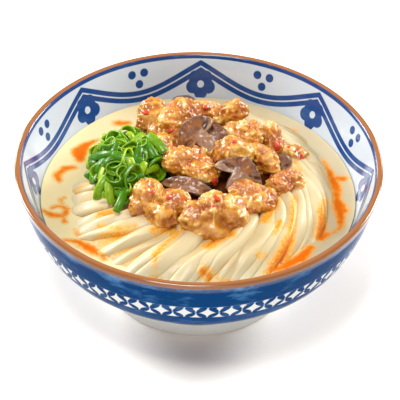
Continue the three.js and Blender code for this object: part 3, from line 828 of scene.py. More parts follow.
# %% Noodle strands
# Each noodle's line in plan, mm: five points from under the toppings to where it dives.
noodle_lines = np.array([
    [(24, 62), (35, 59), (48, 54), (60, 45), (68, 39)],
    [(35, 53), (45, 48), (55, 41), (64, 33), (71, 23)],
    [(41, 45), (52, 37), (61, 28), (68, 19), (73, 7)],
    [(47, 34), (57, 26), (65, 16), (70, 4), (73, -11)],
    [(49, 24), (59, 16), (66, 4), (69, -10), (69, -24)],
    [(50, 15), (58, 7), (64, -6), (65, -21), (63, -36)],
    [(48, 6), (56, -1), (60, -13), (60, -28), (55, -44)],
    [(45, -1), (52, -7), (55, -18), (54, -33), (46, -52)],
    [(42, -6), (48, -12), (50, -23), (47, -38), (36, -59)],
    [(37, -9), (43, -17), (43, -28), (38, -45), (25, -65)],
    [(32, -14), (38, -22), (36, -35), (29, -50), (16, -67)],
    [(23, -21), (28, -29), (23, -42), (14, -55), (0, -72)],
    [(16, -28), (22, -36), (16, -47), (6, -59), (-8, -73)],
    [(10, -35), (14, -43), (8, -52), (-3, -63), (-16, -74)],
    [(-3, -37), (-1, -45), (-9, -55), (-19, -63), (-31, -70)],
    [(-8, -34), (-7, -43), (-17, -51), (-27, -59), (-39, -66)],
    [(-16, -28), (-21, -38), (-31, -42), (-42, -46), (-55, -49)],
    [(-20, -25), (-27, -35), (-38, -37), (-50, -38), (-63, -39)],
    [(-26, -20), (-34, -28), (-46, -31), (-57, -32), (-69, -31)],
    [(-38, -8), (-47, -17), (-57, -18), (-67, -16), (-77, -11)],
    [(-44, 3), (-53, -1), (-62, 0), (-71, 5), (-80, 11)],
], float)
noodle_lines[:7, :, 0] *= 0.95
path_steps = 84
section_steps = 24
strand_reach = 80
squareness = 3.3
wander = 5
lie_inwards, lie_lift, lie_spread = 0.93, 0.3, 1.6
layer_drop = 2.2


def strand_path(line, index, below, to_front, to_left):
    """Shares of a noodle's length, and its middle line: the cubic that fits the line's points best.

    It wanders a little by chance and stays within reach of the axis. It lies on the bed, rises and
    falls by a fading sine, and sinks by an S curve, which starts late in front and early at left.
    """
    t = np.linspace(0, 1 + 0.1 * to_front + 0.2 * to_left, path_steps)
    fitted = np.polyfit(np.linspace(0, 1, len(line)), line, 3)
    x, y = (t[:, None] ** np.arange(3, -1, -1) @ fitted).T
    x = x + wander * t * (chance(31, index) - 0.5)
    y = y + wander * t * (chance(37, index) - 0.5)
    kept = np.minimum(1, strand_reach / np.hypot(x, y))
    x, y = kept * x, kept * y
    late = 0.5 * to_front + 0.3 * (1 - to_front) * chance(29, index)
    dive = smooth_step(0.3 + late - 0.4 * to_left, 1.1 + 0.12 * to_left, t)
    depth = (6.5 - 0.3 * to_left) * dive + below
    wave = 1.1 * np.sin(5.5 * t + any_turn * chance(23, index)) * (1 - t)
    bed = bed_height(lie_inwards * x, lie_inwards * y)
    z = bed + lie_lift + lie_spread * chance(7, index) + wave - depth
    return t, np.stack([x, y, z], axis=-1)


def strand_section(t, index, to_front, to_left):
    """How far a noodle's skin lies above and beside its middle line: a superellipse at each share.

    It swells by a weak sine and tapers to the end. It twists to and fro and flattens at the end.
    """
    taper = 1 - (0.7 - 0.4 * to_front) * smooth_step(0.7 - 0.2 * to_left, 1.2, t)
    swell = 1 + 0.05 * np.sin(7 * t + 6 * chance(13, index))
    size = ((1.12 + 0.4 * chance(11, index)) * taper * swell)[:, None]
    phi = full_turn(section_steps)
    rise = rounded(np.cos(phi), 2 / squareness) * 0.5 * noodle_thickness
    spread = rounded(np.sin(phi), 2 / squareness) * 0.5 * noodle_width
    sway = 0.45 * np.sin(4.2 * t + any_turn * chance(17, index))
    twist = (sway + 0.5 * (chance(19, index) - 0.5))[:, None]
    flatter = (1 - 0.4 * (1 - to_front) * smooth_step(0.5, 1.0, t))[:, None]
    above = (rise * np.cos(twist) - spread * np.sin(twist)) * size * flatter
    beside = (rise * np.sin(twist) + spread * np.cos(twist)) * size
    return above, beside


def strand(line, index, below):
    """One noodle: its section carried along its path, square to it, with the values for its colour.

    Sauce is the depth in the nearest trail, deeper in a valley. Valley grows from 0 on the noodle's
    back to 1 below, and is higher on the low layer; its yellow is partly fat, partly painted shade.
    stain is 1 by the chicken: glaze stain, and painted shade under the toppings.
    """
    end_x, end_y = line[-1] / np.hypot(*line[-1])
    to_front, to_left = max(0.0, -end_y), max(0.0, -end_x)
    t, path = strand_path(line, index, below, to_front, to_left)
    above, beside = strand_section(t, index, to_front, to_left)
    ahead = unit(np.gradient(path, axis=0))
    upright = unit(np.array([0, 0, 1]) - ahead[:, 2:] * ahead)
    across = np.cross(ahead, upright)
    rings = path[:, None] + above[..., None] * upright[:, None]
    rings = rings + beside[..., None] * across[:, None]
    valley = np.clip(0.5 - above / noodle_thickness, 0, 1) + 0.3 * (below > 0)
    depth = trail_depth(rings[..., 0], rings[..., 1], noodle_trails + broth_trails)
    sauce = depth + 0.9 * (valley - 0.35)
    stain = near_toppings(rings[..., 0], rings[..., 1])
    return capped(rings, path[0], path[-1], sauce=sauce, valley=valley, stain=stain)


top_strands = [strand(line, k, 0.0) for k, line in enumerate(noodle_lines)]
low_lines = (noodle_lines[1:] + noodle_lines[:-1]) / 2
low_strands = [strand(line, 40 + k, layer_drop) for k, line in enumerate(low_lines)]

# %% [markdown]
# Boiled wheat dough is cream-coloured and slightly see-through, with a wet, soft gloss. Light goes
# about a millimetre into it, so it gets a little subsurface scattering, but not under the oil. The
# valleys are tinted a deep yellow, partly by fat and partly as painted shade, most on the low layer
# and the core. Chili oil runs orange over the noodles, and by the chicken they are browned, partly
# by glaze stain and partly as painted shade under the toppings.

# %% Noodle material
noodle_finish, tree, place = new_material("boiled_wheat_noodle_with_sauce")
sauce_mm, valley, stain = (
    add(tree, "Attribute", attribute_name=key).outputs["Fac"]
    for key in ("sauce", "valley", "stain"))
grains = add(tree, "TexNoise", {"Vector": place, "Scale": grain(1.6), "Detail": 4,
                                "Roughness": 0.7})
ragged_mm = add(tree, "MapRange", {"Value": grains, "From Min": 0.3, "From Max": 0.7,
                                   "To Min": -1.5, "To Max": 1.5})
film_mm = add(tree, "Math", {0: sauce_mm, 1: ragged_mm}, operation="ADD")
film = add(tree, "MapRange", {"Value": film_mm, "From Min": -2.0, "From Max": 0.6, "To Max": 0.97})
deep = add(tree, "MapRange", {"Value": film_mm, "From Min": 0.0, "From Max": 2.6})
soft = add(tree, "TexNoise", {"Vector": place, "Scale": grain(12), "Detail": 2})
dough = add(tree, "MixRGB", {"Fac": soft, "Color1": "#BFAE82", "Color2": "#C6B896"})
# Painted shade and fat: the lower a point lies on its noodle, the deeper its yellow.
valley_fat_and_shade = add(tree, "MapRange", {"Value": valley, "From Min": 0.25, "From Max": 0.8,
                                  "To Max": 0.95})
fat_and_shade_tinted = add(tree, "MixRGB", {"Fac": valley_fat_and_shade, "Color1": dough, "Color2": "#D69C14"})
# The stock wets the noodles for 2 to 3 mm above its level, and hides where they go under.
level = add(tree, "SeparateXYZ", {"Vector": place}).outputs["Z"]
wet = add(tree, "MapRange", {"Value": level, "From Min": 0.0612, "From Max": 0.0573})
wetted = add(tree, "MixRGB", {"Fac": wet, "Color1": fat_and_shade_tinted, "Color2": "#CBC09B"})
sauce = add(tree, "MixRGB", {"Fac": deep, "Color1": "#D89C20", "Color2": "#CB6606"})
sauced = add(tree, "MixRGB", {"Fac": film, "Color1": wetted, "Color2": sauce})
# Brown by the chicken: glaze stain, and painted shade under the toppings.
stain_and_shade_part = add(tree, "Math", {0: stain, 1: 0.5}, operation="MULTIPLY")
colour = add(tree, "MixRGB", {"Fac": stain_and_shade_part, "Color1": sauced, "Color2": "#B0782C"})
clear_part = add(tree, "MapRange", {"Value": film, "To Min": 0.5, "To Max": 0.1})
finish_material(tree, Base_Color=colour, Roughness=0.45, IOR=1.33, Coat_Weight=0.12,
                Coat_Roughness=0.12, Subsurface_Weight=clear_part,
                Subsurface_Radius=(1.0, 0.85, 0.7), Subsurface_Scale=1.2 * MM)

core_columns, core_rows = 180, 60
core_crown = bed_crown + 2.2
core_inset = 5
core_power = 1.4 * bed_power
under_shares = [0.3, 0.6, 0.75, 0.86, 0.94, 1.0]
under_heights = [bed_floor, bed_floor, bed_floor + 4, bed_floor + 9, 41, 46]

core_turn = full_turn(core_columns)
top_shares = np.linspace(1, 0.03, core_rows)
core_top = bed_edge + (core_crown - bed_edge) * (1 - top_shares**core_power)
core_shares = np.concatenate([under_shares, top_shares])[:, None]
core_radius = core_shares * (nest_radius(core_turn) - core_inset)
core_rings = turned(core_radius, np.concatenate([under_heights, core_top]), core_turn)
core_stain_and_shade = near_toppings(core_rings[..., 0], core_rings[..., 1])
# The core shows only in the gaps, so it is fully tinted: partly painted shade.
core_part = capped(core_rings, (0, 0, bed_floor), (0, 0, core_crown), stain=core_stain_and_shade,
                   sauce=np.full_like(core_stain_and_shade, -0.5), valley=np.ones_like(core_stain_and_shade))
make_piece("noodle_core", [core_part], noodle_finish, ["noodles"])
make_piece("noodle_strands_top", top_strands, noodle_finish, ["noodles"])
make_piece("noodle_strands_low", low_strands, noodle_finish, ["noodles"])

# %% [markdown]
# ## Fried chicken
#
# The chicken is thigh meat in a thin batter, fried and then tossed in a sticky sauce. Its skin has
# lobes and creases of meat and a rough crust of crumbs. A sculpted displacement could be painted
# on, but noise gives it all over: broad lobes, creases where one noise crosses its middle value,
# and crumbs from cell noise. The relief moves the lump's points, so it is real shape and not only
# shading.

# %% Chicken surfaces
lump_rows, lump_columns = 120, 140
crust_seed = 100
poles = np.array([[1.0, 0, 0], [-1.0, 0, 0]])


def sphere_grid(rows, columns):
    """Unit directions in rings about X, from one pole to the other, poles left out."""
    polar = np.linspace(0, np.pi, rows + 2)[1:-1, None]
    round_x = full_turn(columns)[None, :]
    return np.stack([
        np.cos(polar) * np.ones_like(round_x),
        np.sin(polar) * np.cos(round_x),
        np.sin(polar) * np.sin(round_x),
    ], axis=-1)


def crust_relief(points, seed):
    """Relief in mm, and how high and pale each point of the crust is, about 0 to 1; the low end is
    partly painted shade in the creases.

    The relief is noise with grains of 8 and 4.2 mm, plus creases at 6 and 3.4 mm where a noise
    crosses its middle value, plus crumbs of 1.9 mm and noise of 1.1 mm where the crust is rough.
    """
    broad = 1.8 * (noise(points, 8, seed) - 0.5) + 1.5 * (noise(points, 4.2, seed + 1) - 0.5)
    fold = 1 - np.abs(2 * noise(points, 6, seed + 4) - 1)
    small_fold = 1 - np.abs(2 * noise(points, 3.4, seed + 8) - 1)
    rough = smooth_step(0.3, 0.55, noise(points, 9, seed + 2))
    crumb = 0.5 - crumbs(points, 1.9, seed + 3)
    fine = noise(points, 1.1, seed + 7) - 0.5
    relief = broad + 0.5 + 1.4 * (fold - 0.6) + 1.3 * (small_fold - 0.6)
    relief = relief + (0.3 + rough) * (0.9 * crumb + 0.9 * fine)
    coarse = broad + 1.4 * (fold - 0.6) + 1.2 * (small_fold - 0.6)
    return relief, smooth_step(-1.6, 2.2, coarse) + 0.35 * crumb * (0.3 + rough)


def chicken_part(piece, others):
    """A clump with crust relief along its directions, dented by the pieces that it leans on."""
    direction = sphere_grid(lump_rows, lump_columns)
    flat = np.concatenate([direction.reshape(-1, 3), poles])
    smooth = clump_points(piece, flat)
    relief, tip = crust_relief(smooth, crust_seed + piece["seed"])
    points = pressed_back(smooth + flat * relief[:, None], piece["at"], others)
    # Darker pieces: a browner crust, and partly painted shade.
    tip = (tip[:-2] - darkened_share.get(piece["name"], 0)).reshape(direction.shape[:2])
    return capped(points[:-2].reshape(direction.shape), points[-2], points[-1], tip=tip)


# %% [markdown]
# The crust goes from pale batter on the high parts through gold to brown in the creases, where the
# sauce gathers and painted shade darkens them too, so its colour is a ramp over the height that the
# mesh holds, made uneven by a fine noise.
# The sauce is sugar and soy with chili oil: a clear, sticky coat with sharp highlights, so the
# shader has a smooth coat with a coarse, soft bump over a rougher crust, and a little light enters
# the batter.

# %% Chicken material
chicken_finish, tree, place = new_material("fried_chicken_in_sticky_glaze")
tip = add(tree, "Attribute", attribute_name="tip").outputs["Fac"]
blotch = add(tree, "TexNoise", {"Vector": place, "Scale": grain(3.5), "Detail": 5,
                                "Roughness": 0.65})
blotch_part = add(tree, "MapRange", {"Value": blotch, "From Min": 0.3, "From Max": 0.7,
                                     "To Min": -0.3, "To Max": 0.25})
shade = add(tree, "Math", {0: tip, 1: blotch_part}, operation="ADD", use_clamp=True)
# The ramp's dark end, in the creases, is partly sauce and partly painted shade.
crust = add(tree, "ValToRGB", {"Fac": shade})
crust.color_ramp.elements[0].color = linear("#94500C")
crust.color_ramp.elements[1].color = linear("#DEBE84")
for share, tint in [(0.28, "#A6640E"), (0.55, "#BA7E1E"), (0.8, "#CA9C48")]:
    crust.color_ramp.elements.new(share).color = linear(tint)
chili_place = add(tree, "Mapping", {"Vector": place, "Location": (0.31, 0.17, 0.05)})
chili = add(tree, "TexNoise", {"Vector": chili_place, "Scale": grain(8), "Detail": 4,
                               "Roughness": 0.6})
chili_part = add(tree, "MapRange", {"Value": chili, "From Min": 0.58, "From Max": 0.68,
                                    "To Max": 0.7})
colour = add(tree, "MixRGB", {"Fac": chili_part, "Color1": crust, "Color2": "#BC5408"})
bumps = add(tree, "TexNoise", {"Vector": place, "Scale": grain(1.5), "Detail": 3})
crust_bump = add(tree, "Bump", {"Height": bumps, "Strength": 0.5, "Distance": 0.5 * MM})
drops = add(tree, "TexNoise", {"Vector": place, "Scale": grain(2.4), "Detail": 2})
film_bump = add(tree, "Bump", {"Height": drops, "Strength": 0.8, "Distance": 0.8 * MM})
finish_material(tree, Base_Color=colour, Roughness=0.5, IOR=1.42, Coat_Weight=0.75,
                Coat_Roughness=0.06, Normal=crust_bump, Coat_Normal=film_bump,
                Subsurface_Weight=0.25, Subsurface_Radius=(1.0, 0.6, 0.2), Subsurface_Scale=2 * MM)

# %% [markdown]
# ## Mushroom slices
#
# The mushrooms are cut lengthwise, so each slice shows a cap, the dark gills under it and a pale
# stem. The slice is a pile of rings that shrink from its rounded edge to the middle of each cut
# face. The gills are pressed in beside the stem, and the whole slice is bowed, as it curls in the
# pan.

# %% Mushroom surfaces
slice_columns = 160
face_rings, edge_rings = 16, 11
edge_share, edge_width = 0.9, 0.1


def mushroom_part(piece, others):
    """Rings of the outline scaled by a share, with a rounded edge, then bowed and placed."""
    angle = full_turn(slice_columns)
    outline = slice_outline(angle, piece)
    for _ in range(3):
        outline = (np.roll(outline, 1) + 2 * outline + np.roll(outline, -1)) / 4
    face_shares = np.linspace(0.06, edge_share, face_rings)
    bend = np.linspace(0, np.pi, edge_rings)[1:-1]
    round_shares = edge_share + edge_width * np.sin(bend)
    shares = np.concatenate([face_shares, round_shares, face_shares[::-1]])
    heights = np.concatenate([np.ones(face_rings), np.cos(bend), -np.ones(face_rings)])
    x = shares[:, None] * outline * np.cos(angle)
    y = shares[:, None] * outline * np.sin(angle)
    z = heights[:, None] * piece["thickness"] / 2 * np.ones_like(x)
    within = np.hypot(x / piece["cap_half"], y / piece["gill_depth"])
    gills = (smooth_step(0.5, -1.2, y) * smooth_step(1.0, 0.72, within)
             * smooth_step(piece["stem_half"] - 0.6, piece["stem_half"] + 1.2, np.abs(x)))
    skin = smooth_step(-0.15, 0.15, y / piece["cap_height"])
    skin = smooth_step(0.86, 0.97, shares)[:, None] * skin
    stem = smooth_step(1.5, -3, y) * (1 - gills)
    z = z * (1 - 0.3 * gills) - piece["bow"] * (x / piece["cap_half"]) ** 2
    points = np.stack([x, y, z], axis=-1) @ piece["matrix"].T + piece["at"]
    ripple = 1.6 * (noise(points, 5, 300) - 0.5) + 0.8 * (noise(points, 1.8, 301) - 0.5)
    points = points + piece["matrix"][:, 2] * (heights[:, None] * ripple)[..., None]
    points = pressed_back(points, piece["at"], others)
    middle = points[[0, -1]].mean(axis=1)
    return capped(points, middle[0], middle[1], gills=gills, skin=skin, stem=stem)


# %% [markdown]
# Cooked mushroom is grey-brown and slick. The cap's skin is the darkest, the gills nearly black in
# shade, and the stem a paler grey with a pink cast. The finish is wet: a smooth coat over soft
# flesh.

# %% Mushroom material
mushroom_finish, tree, place = new_material("simmered_mushroom_flesh")
gills, skin, stem = (
    add(tree, "Attribute", attribute_name=key).outputs["Fac"]
    for key in ("gills", "skin", "stem"))
fibre = add(tree, "TexNoise", {"Vector": place, "Scale": grain(4), "Detail": 5, "Roughness": 0.65})
cap = add(tree, "MixRGB", {"Fac": fibre, "Color1": "#412216", "Color2": "#84573F"})
stalk = add(tree, "MixRGB", {"Fac": fibre, "Color1": "#6C4C39", "Color2": "#AA8A70"})
flesh = add(tree, "MixRGB", {"Fac": stem, "Color1": cap, "Color2": stalk})
gilled = add(tree, "MixRGB", {"Fac": gills, "Color1": flesh, "Color2": "#321C14"})
skin_part = add(tree, "Math", {0: skin, 1: 0.75}, operation="MULTIPLY")
skinned = add(tree, "MixRGB", {"Fac": skin_part, "Color1": gilled, "Color2": "#3D2923"})
sauce_place = add(tree, "Mapping", {"Vector": place, "Location": (0.1, 0.4, 0.2)})
sauce_noise = add(tree, "TexNoise", {"Vector": sauce_place, "Scale": grain(7), "Detail": 3})
sauce_part = add(tree, "MapRange", {"Value": sauce_noise, "From Min": 0.49, "From Max": 0.64,
                                    "To Max": 0.7})
colour = add(tree, "MixRGB", {"Fac": sauce_part, "Color1": skinned, "Color2": "#8A5420"})
bumps = add(tree, "TexNoise", {"Vector": place, "Scale": grain(1.8), "Detail": 4})
flesh_bump = add(tree, "Bump", {"Height": bumps, "Strength": 0.5, "Distance": 0.5 * MM})
finish_material(tree, Base_Color=colour, Roughness=0.45, IOR=1.38, Coat_Weight=0.5,
                Coat_Roughness=0.1, Normal=flesh_bump, Coat_Normal=flesh_bump)

# %% Toppings, each pressed back by those before it
earlier = [heap]
order = chickens[:1] + mushrooms[:3] + chickens[1:] + mushrooms[3:]
kinds = {
    "chicken": (chicken_part, chicken_finish, "_fried"),
    "mushroom": (mushroom_part, mushroom_finish, "_slice"),
}
for piece in order:
    kind = piece["name"].split("_")[0]
    make, finish, ending = kinds[kind]
    make_piece(piece["name"] + ending, [make(piece, earlier)], finish, [piece["name"]])
    earlier.append(piece)

# %% [markdown]
# ## Sauce and painted shade between the toppings
#
# Some sauce runs off the chicken and pools in the gaps, but the gaps lie deep in shade. A low lumpy
# bed of near-black brown sauce on the noodle core, under all the toppings, paints that shade, so
# that a gap between two pieces shows dark sauce and no dough.

# %% Sauce bed
pool_columns, pool_rows = 200, 50
pool_x, pool_y = 8, 3
pool_under, under_depths = [0.4, 0.8, 0.97], [-3, -3, -1.5]

pool_turn = full_turn(pool_columns)
pool_reach = 46 + 6 * np.sin(2 * pool_turn + 2.2) + 2.5 * np.sin(5 * pool_turn)
open_shares = np.linspace(1, 0.04, pool_rows)
pool_shares = np.concatenate([pool_under, open_shares])[:, None]
x = pool_shares * pool_reach * np.cos(pool_turn) + pool_x
y = pool_shares * pool_reach * np.sin(pool_turn) + pool_y
pool_depth = np.concatenate([under_depths, 3.6 * (1 - open_shares**6) - 0.6])[:, None]
lumps = 1.6 * (noise(np.stack([x, y, 0 * x], axis=-1), 6, 400) - 0.5)
pool_rings = np.stack([x, y, bed_height(x, y) + (pool_depth + lumps)], axis=-1)
pool_part = capped(pool_rings, pool_rings[0].mean(axis=0), pool_rings[-1].mean(axis=0))

shade_sauce_finish, tree, place = new_material("sauce_bed_painted_as_shade")
swirl = add(tree, "TexNoise", {"Vector": place, "Scale": grain(6), "Detail": 4})
# Painted shade: the bed is near-black brown, as the deep gaps look in shade.
colour = add(tree, "MixRGB", {"Fac": swirl, "Color1": "#220D04", "Color2": "#56270B"})
finish_material(tree, Base_Color=colour, Roughness=0.18, IOR=1.42)
make_piece("sauce_bed_painted_shade", [pool_part], shade_sauce_finish)

# %% [markdown]
# ## Chili flakes
#
# Dried chili softens in the sauce to small bright red scraps. Each is a tiny flattened lump that
# lies on the skin of its chicken piece, so its place is a direction from that piece's centre.

# %% Chili flakes
flake_rows, flake_columns = 8, 12
flake_lift = 0.25
large_seed, small_seed = 500, 600
small_per_piece = 2


def frame_along(axis, spin, helper=None):
    """Three axes: two across the given one, turned about it by spin, and the given one itself.

    Before its turn, the first is square to a helper: Z, or X where the axis lies close to Z.
    """
    axis = unit(np.array(axis, float))
    if helper is None:
        helper = (0, 0, 1.0) if abs(axis[2]) < 0.9 else (1.0, 0, 0)
    side = unit(np.cross(helper, axis))
    first = side * np.cos(spin) + np.cross(axis, side) * np.sin(spin)
    return np.stack([first, np.cross(axis, first), axis])


def flake_part(piece, azimuth, elevation, length, seed):
    """A small blunt lump, flattened along the skin's normal, half sunk in the piece."""
    normal = way(np.radians(azimuth), np.sin(np.radians(elevation)))
    skin_point = clump_points(piece, normal)
    axes = frame_along(normal, any_turn * chance(seed, 5), (-0.3, -0.2, -1.0))
    grid = sphere_grid(flake_rows, flake_columns)
    flat = np.concatenate([grid.reshape(-1, 3), poles])
    reach = 1 + 0.2 * uneven(flat, seed)[:, None]
    points = (flat * reach * np.array([length / 2, length / 3.6, 0.16 * length])) @ axes
    relief = crust_relief(skin_point[None], crust_seed + piece["seed"])[0]
    points = points + skin_point + normal * (flake_lift + relief)
    return capped(points[:-2].reshape(grid.shape), points[-2], points[-1])


flake_parts = []
for number, piece in enumerate(chickens):
    for azimuth, elevation, length in piece["flakes"]:
        seed = large_seed + len(flake_parts)
        flake_parts.append(flake_part(piece, azimuth, elevation, length, seed))
    for extra in range(small_per_piece):
        seed = 40 * number + extra
        turn_part, rise_part, size_part = (chance(seed, k) for k in (31, 32, 33))
        small = (200 + 140 * turn_part, 5 + 60 * rise_part, 1.2 + 1.4 * size_part)
        flake_parts.append(flake_part(piece, *small, small_seed + seed))

chili_finish, tree, place = new_material("soaked_chili_flake")
tone = add(tree, "TexNoise", {"Vector": place, "Scale": grain(2), "Detail": 2})
colour = add(tree, "MixRGB", {"Fac": tone, "Color1": "#AF2215", "Color2": "#CF4E2A"})
finish_material(tree, Base_Color=colour, Roughness=0.3, IOR=1.42, Coat_Weight=0.6,
                Coat_Roughness=0.08)
make_piece("chili_flakes", flake_parts, chili_finish)

# %% [markdown]
# ## Spring onion
#
# Young spring onion is cut across into thin rings and slanted loops, with some leaf strips among
# them, and dropped in a heap. Rings and strips are two formulas: a thin rectangle carried round an
# ellipse, and a thin leaf section carried along a curl. A few large ones have their own place, and
# the rest are spread over a smaller core by a golden spiral.

# %% Ring and strip formulas
ring_columns, ring_section = 30, 10
strip_rows, strip_section = 22, 16
leaf_half = 0.55
strip_half = 0.45


def ring_part(at, axis, spin, radius, ratio, height, tone):
    """A cut ring: a thin rounded rectangle, as tall as the cut, carried round an uneven ellipse."""
    around = full_turn(ring_columns)[:, None]
    section = full_turn(ring_section)[None, :]
    out = leaf_half * rounded(np.cos(section), 0.5)
    rise = height / 2 * rounded(np.sin(section), 0.5)
    wobble = 1 + 0.1 * np.sin(2 * around + 9 * tone) + 0.06 * np.sin(3 * around + 5 * tone)
    flare = 1 + 0.05 * rise / height
    lean = 0.5 * np.sin(2 * around + 4 * tone)
    local = np.stack([
        (radius * wobble * flare + out) * np.cos(around),
        (radius * wobble * flare * ratio + out) * np.sin(around),
        rise + lean,
    ], axis=-1)
    shape = local.shape[:2]
    cut = np.broadcast_to(np.abs(rise) / (height / 2), shape)
    inner = np.broadcast_to(out < 0, shape) * 1.0
    points = local @ frame_along(axis, spin) + np.array(at)
    return looped(points, tone=np.full(shape, tone), cut=cut, inner=inner)


def strip_part(start, end, bend, width, tone, face=(0, -0.5, 0.8)):
    """A leaf strip: a thin cupped section carried along an arched line from start to end."""
    start, end, bend = (np.array(p, float) for p in (start, end, bend))
    t = np.linspace(0, 1, strip_rows)[:, None]
    path = start * (1 - t) + end * t + bend * 4 * t * (1 - t)
    ahead = unit(np.gradient(path, axis=0))
    across = unit(np.cross(ahead, np.array(face, float)))
    normal = np.cross(across, ahead)
    section = full_turn(strip_section)
    wide = width / 2 * rounded(np.cos(section), 0.8)
    to_edge = np.abs(wide) / (width / 2)
    thick = strip_half * np.sin(section) - 0.16 * width * to_edge**2
    rings = path[:, None] + wide[:, None] * across[:, None] + thick[:, None] * normal[:, None]
    shape = rings.shape[:2]
    inner = np.broadcast_to(np.sin(section) < 0, shape) * 1.0
    return capped(rings, path[0], path[-1], tone=np.full(shape, tone),
                  cut=np.broadcast_to(to_edge, shape), inner=inner)


# %% Placed rings and strips of the heap's near side
# Rings: middle, axis, spin, radius, second radius as a share of it, height of the cut, tone.
placed_rings = [
    ((-23.0, -0.5, 74.2), (0.62, -0.66, 0.42), 1.2, 6.6, 0.86, 3.4, 0.45),
    ((-35.5, -11.5, 77.6), (0.55, -0.72, 0.42), 1.3, 7.0, 0.72, 4.2, 0.4),
    ((-49.0, 19.5, 77.0), (0.05, 0.2, 0.98), 0.0, 5.6, 0.95, 4.5, 0.85),
    ((-55.0, 13.5, 74.0), (-0.35, -0.5, 0.8), 0.3, 4.4, 0.9, 3.6, 0.9),
    ((-54.0, -2.5, 73.6), (-0.65, -0.45, 0.6), 0.4, 4.8, 0.8, 4.4, 0.7),
    ((-39.5, 22.0, 79.6), (0.45, -0.3, 0.84), 0.9, 4.8, 0.9, 4.6, 0.75),
    ((-44.5, -6.5, 79.8), (-0.2, -0.75, 0.6), 0.6, 5.2, 0.7, 4.0, 0.35),
    ((-33.0, 3.0, 81.0), (0.3, -0.4, 0.86), 2.0, 4.6, 0.8, 4.0, 0.3),
]
# Strips: start, end, arch at the middle, width, tone.
placed_strips = [
    ((-38.6, 4.5, 83.4), (-31.0, 24.0, 79.5), (0, 0, 1.2), 4.0, 0.72),
    ((-28.5, 21.0, 81.0), (-19.0, 9.5, 78.5), (0.5, 0, 1.5), 5.2, 0.62),
    ((-30.5, 14.0, 81.6), (-24.0, 5.0, 78.4), (0, 0, 1.4), 5.0, 0.5),
    ((-60.5, 11.0, 71.0), (-46.5, 2.0, 82.8), (-1, -1, 2.0), 5.0, 0.35),
    ((-49.6, -10.5, 77.0), (-54.6, -17.0, 66.0), (-1.5, -2.0, 1.5), 4.6, 0.7),
    ((-48.6, -13.0, 76.0), (-46.2, -21.5, 67.5), (-0.5, -2.0, 1.0), 4.6, 0.78),
    ((-39.0, -17.0, 75.0), (-44.0, -31.0, 69.5), (0.3, -1.5, 1.5), 4.2, 0.45),
    ((-47.5, 0.5, 82.6), (-30.0, -2.5, 80.6), (0, -0.5, 1.4), 6.4, 0.42),
    ((-52.0, 7.0, 79.5), (-40.0, 13.0, 83.0), (0, 0, 1.2), 4.6, 0.6),
    ((-42.0, -14.5, 77.0), (-30.0, -8.5, 78.0), (0, -1.5, 1.0), 4.0, 0.3),
    ((-45.0, -16.0, 73.5), (-38.0, -24.0, 69.5), (0, -1.0, 1.2), 4.2, 0.4),
]

# %% The rest of the heap, by a golden spiral
filler_count = 78
golden_angle = np.radians(137.5)
heap_half = np.array([19.5, 26, 17.5])
rings_in_seven = 3

cut_parts = [ring_part(*row) for row in placed_rings]
cut_parts += [strip_part(*row) for row in placed_strips]
for index in range(filler_count):
    outward_way = way(index * golden_angle, 1 - 1.2 * (index + 0.5) / filler_count)
    seat = heap["at"] + heap_half * outward_way * (0.82 + 0.12 * chance(80, index))
    lean = chance(np.array([81, 82, 83]), index) - [0.5, 0.5, 0.3]
    axis = unit(unit(outward_way / heap_half) + 1.1 * lean)
    tone = 0.1 + 0.9 * chance(84, index)
    if index % 7 < rings_in_seven:
        radius = 3.4 + 2.0 * chance(85, index)
        tall = 4.5 + 4.0 * chance(86, index)
        spin = any_turn * chance(87, index)
        ratio = 0.4 + 0.45 * chance(89, index)
        cut_parts.append(ring_part(seat, axis, spin, radius, ratio, tall, tone))
    else:
        along = unit(np.cross(axis, outward_way) + 0.2) * (4 + 3 * chance(88, index))
        width = 4.2 + 2.6 * chance(90, index)
        cut_parts.append(strip_part(seat - along, seat + along, 1.6 * axis, width, tone, axis))

# %% [markdown]
# Fresh spring onion is a saturated yellow-green to deep green, shiny and a little translucent, and
# paler on its cut edges and its inner side. Each piece has its own tone from 0, dark, to 1, light.

# %% Spring onion material and pieces
onion_finish, tree, place = new_material("fresh_spring_onion")
tone, cut, inner = (
    add(tree, "Attribute", attribute_name=key).outputs["Fac"]
    for key in ("tone", "cut", "inner"))
streaks = add(tree, "TexNoise", {"Vector": place, "Scale": grain(3), "Detail": 3})
shade = add(tree, "Math", {0: streaks, 1: 0.5, 2: -0.25}, operation="MULTIPLY_ADD")
shaded = add(tree, "Math", {0: tone, 1: shade}, operation="ADD", use_clamp=True)
ramp = add(tree, "ValToRGB", {"Fac": shaded})
ramp.color_ramp.elements[0].color = linear("#1F5000")
ramp.color_ramp.elements[1].color = linear("#92B012")
ramp.color_ramp.elements.new(0.5).color = linear("#407800")
inner_part = add(tree, "Math", {0: inner, 1: 0.5}, operation="MULTIPLY")
inside_leaf = add(tree, "MixRGB", {"Fac": inner_part, "Color1": ramp, "Color2": "#78A218"})
cut_part = add(tree, "MapRange", {"Value": cut, "From Min": 0.85, "From Max": 1.0, "To Max": 0.2})
colour = add(tree, "MixRGB", {"Fac": cut_part, "Color1": inside_leaf, "Color2": "#9ABA30"})
finish_material(tree, Base_Color=colour, Roughness=0.36, IOR=1.33, Coat_Weight=0.15,
                Coat_Roughness=0.08, Subsurface_Weight=0.5, Subsurface_Radius=(0.7, 1.0, 0.1),
                Subsurface_Scale=2 * MM)

core_share = 0.84
heap_rows, heap_columns = 60, 80
heap_core = dict(heap, lobes=heap["lobes"] * np.repeat([1, core_share], 3))
heap_rings = clump_points(heap_core, sphere_grid(heap_rows, heap_columns))
heap_rings = heap_rings + 1.2 * (noise(heap_rings, 4, 700) - 0.5)[..., None]
none = 0 * heap_rings[..., 0]
heap_ends = clump_points(heap_core, poles)
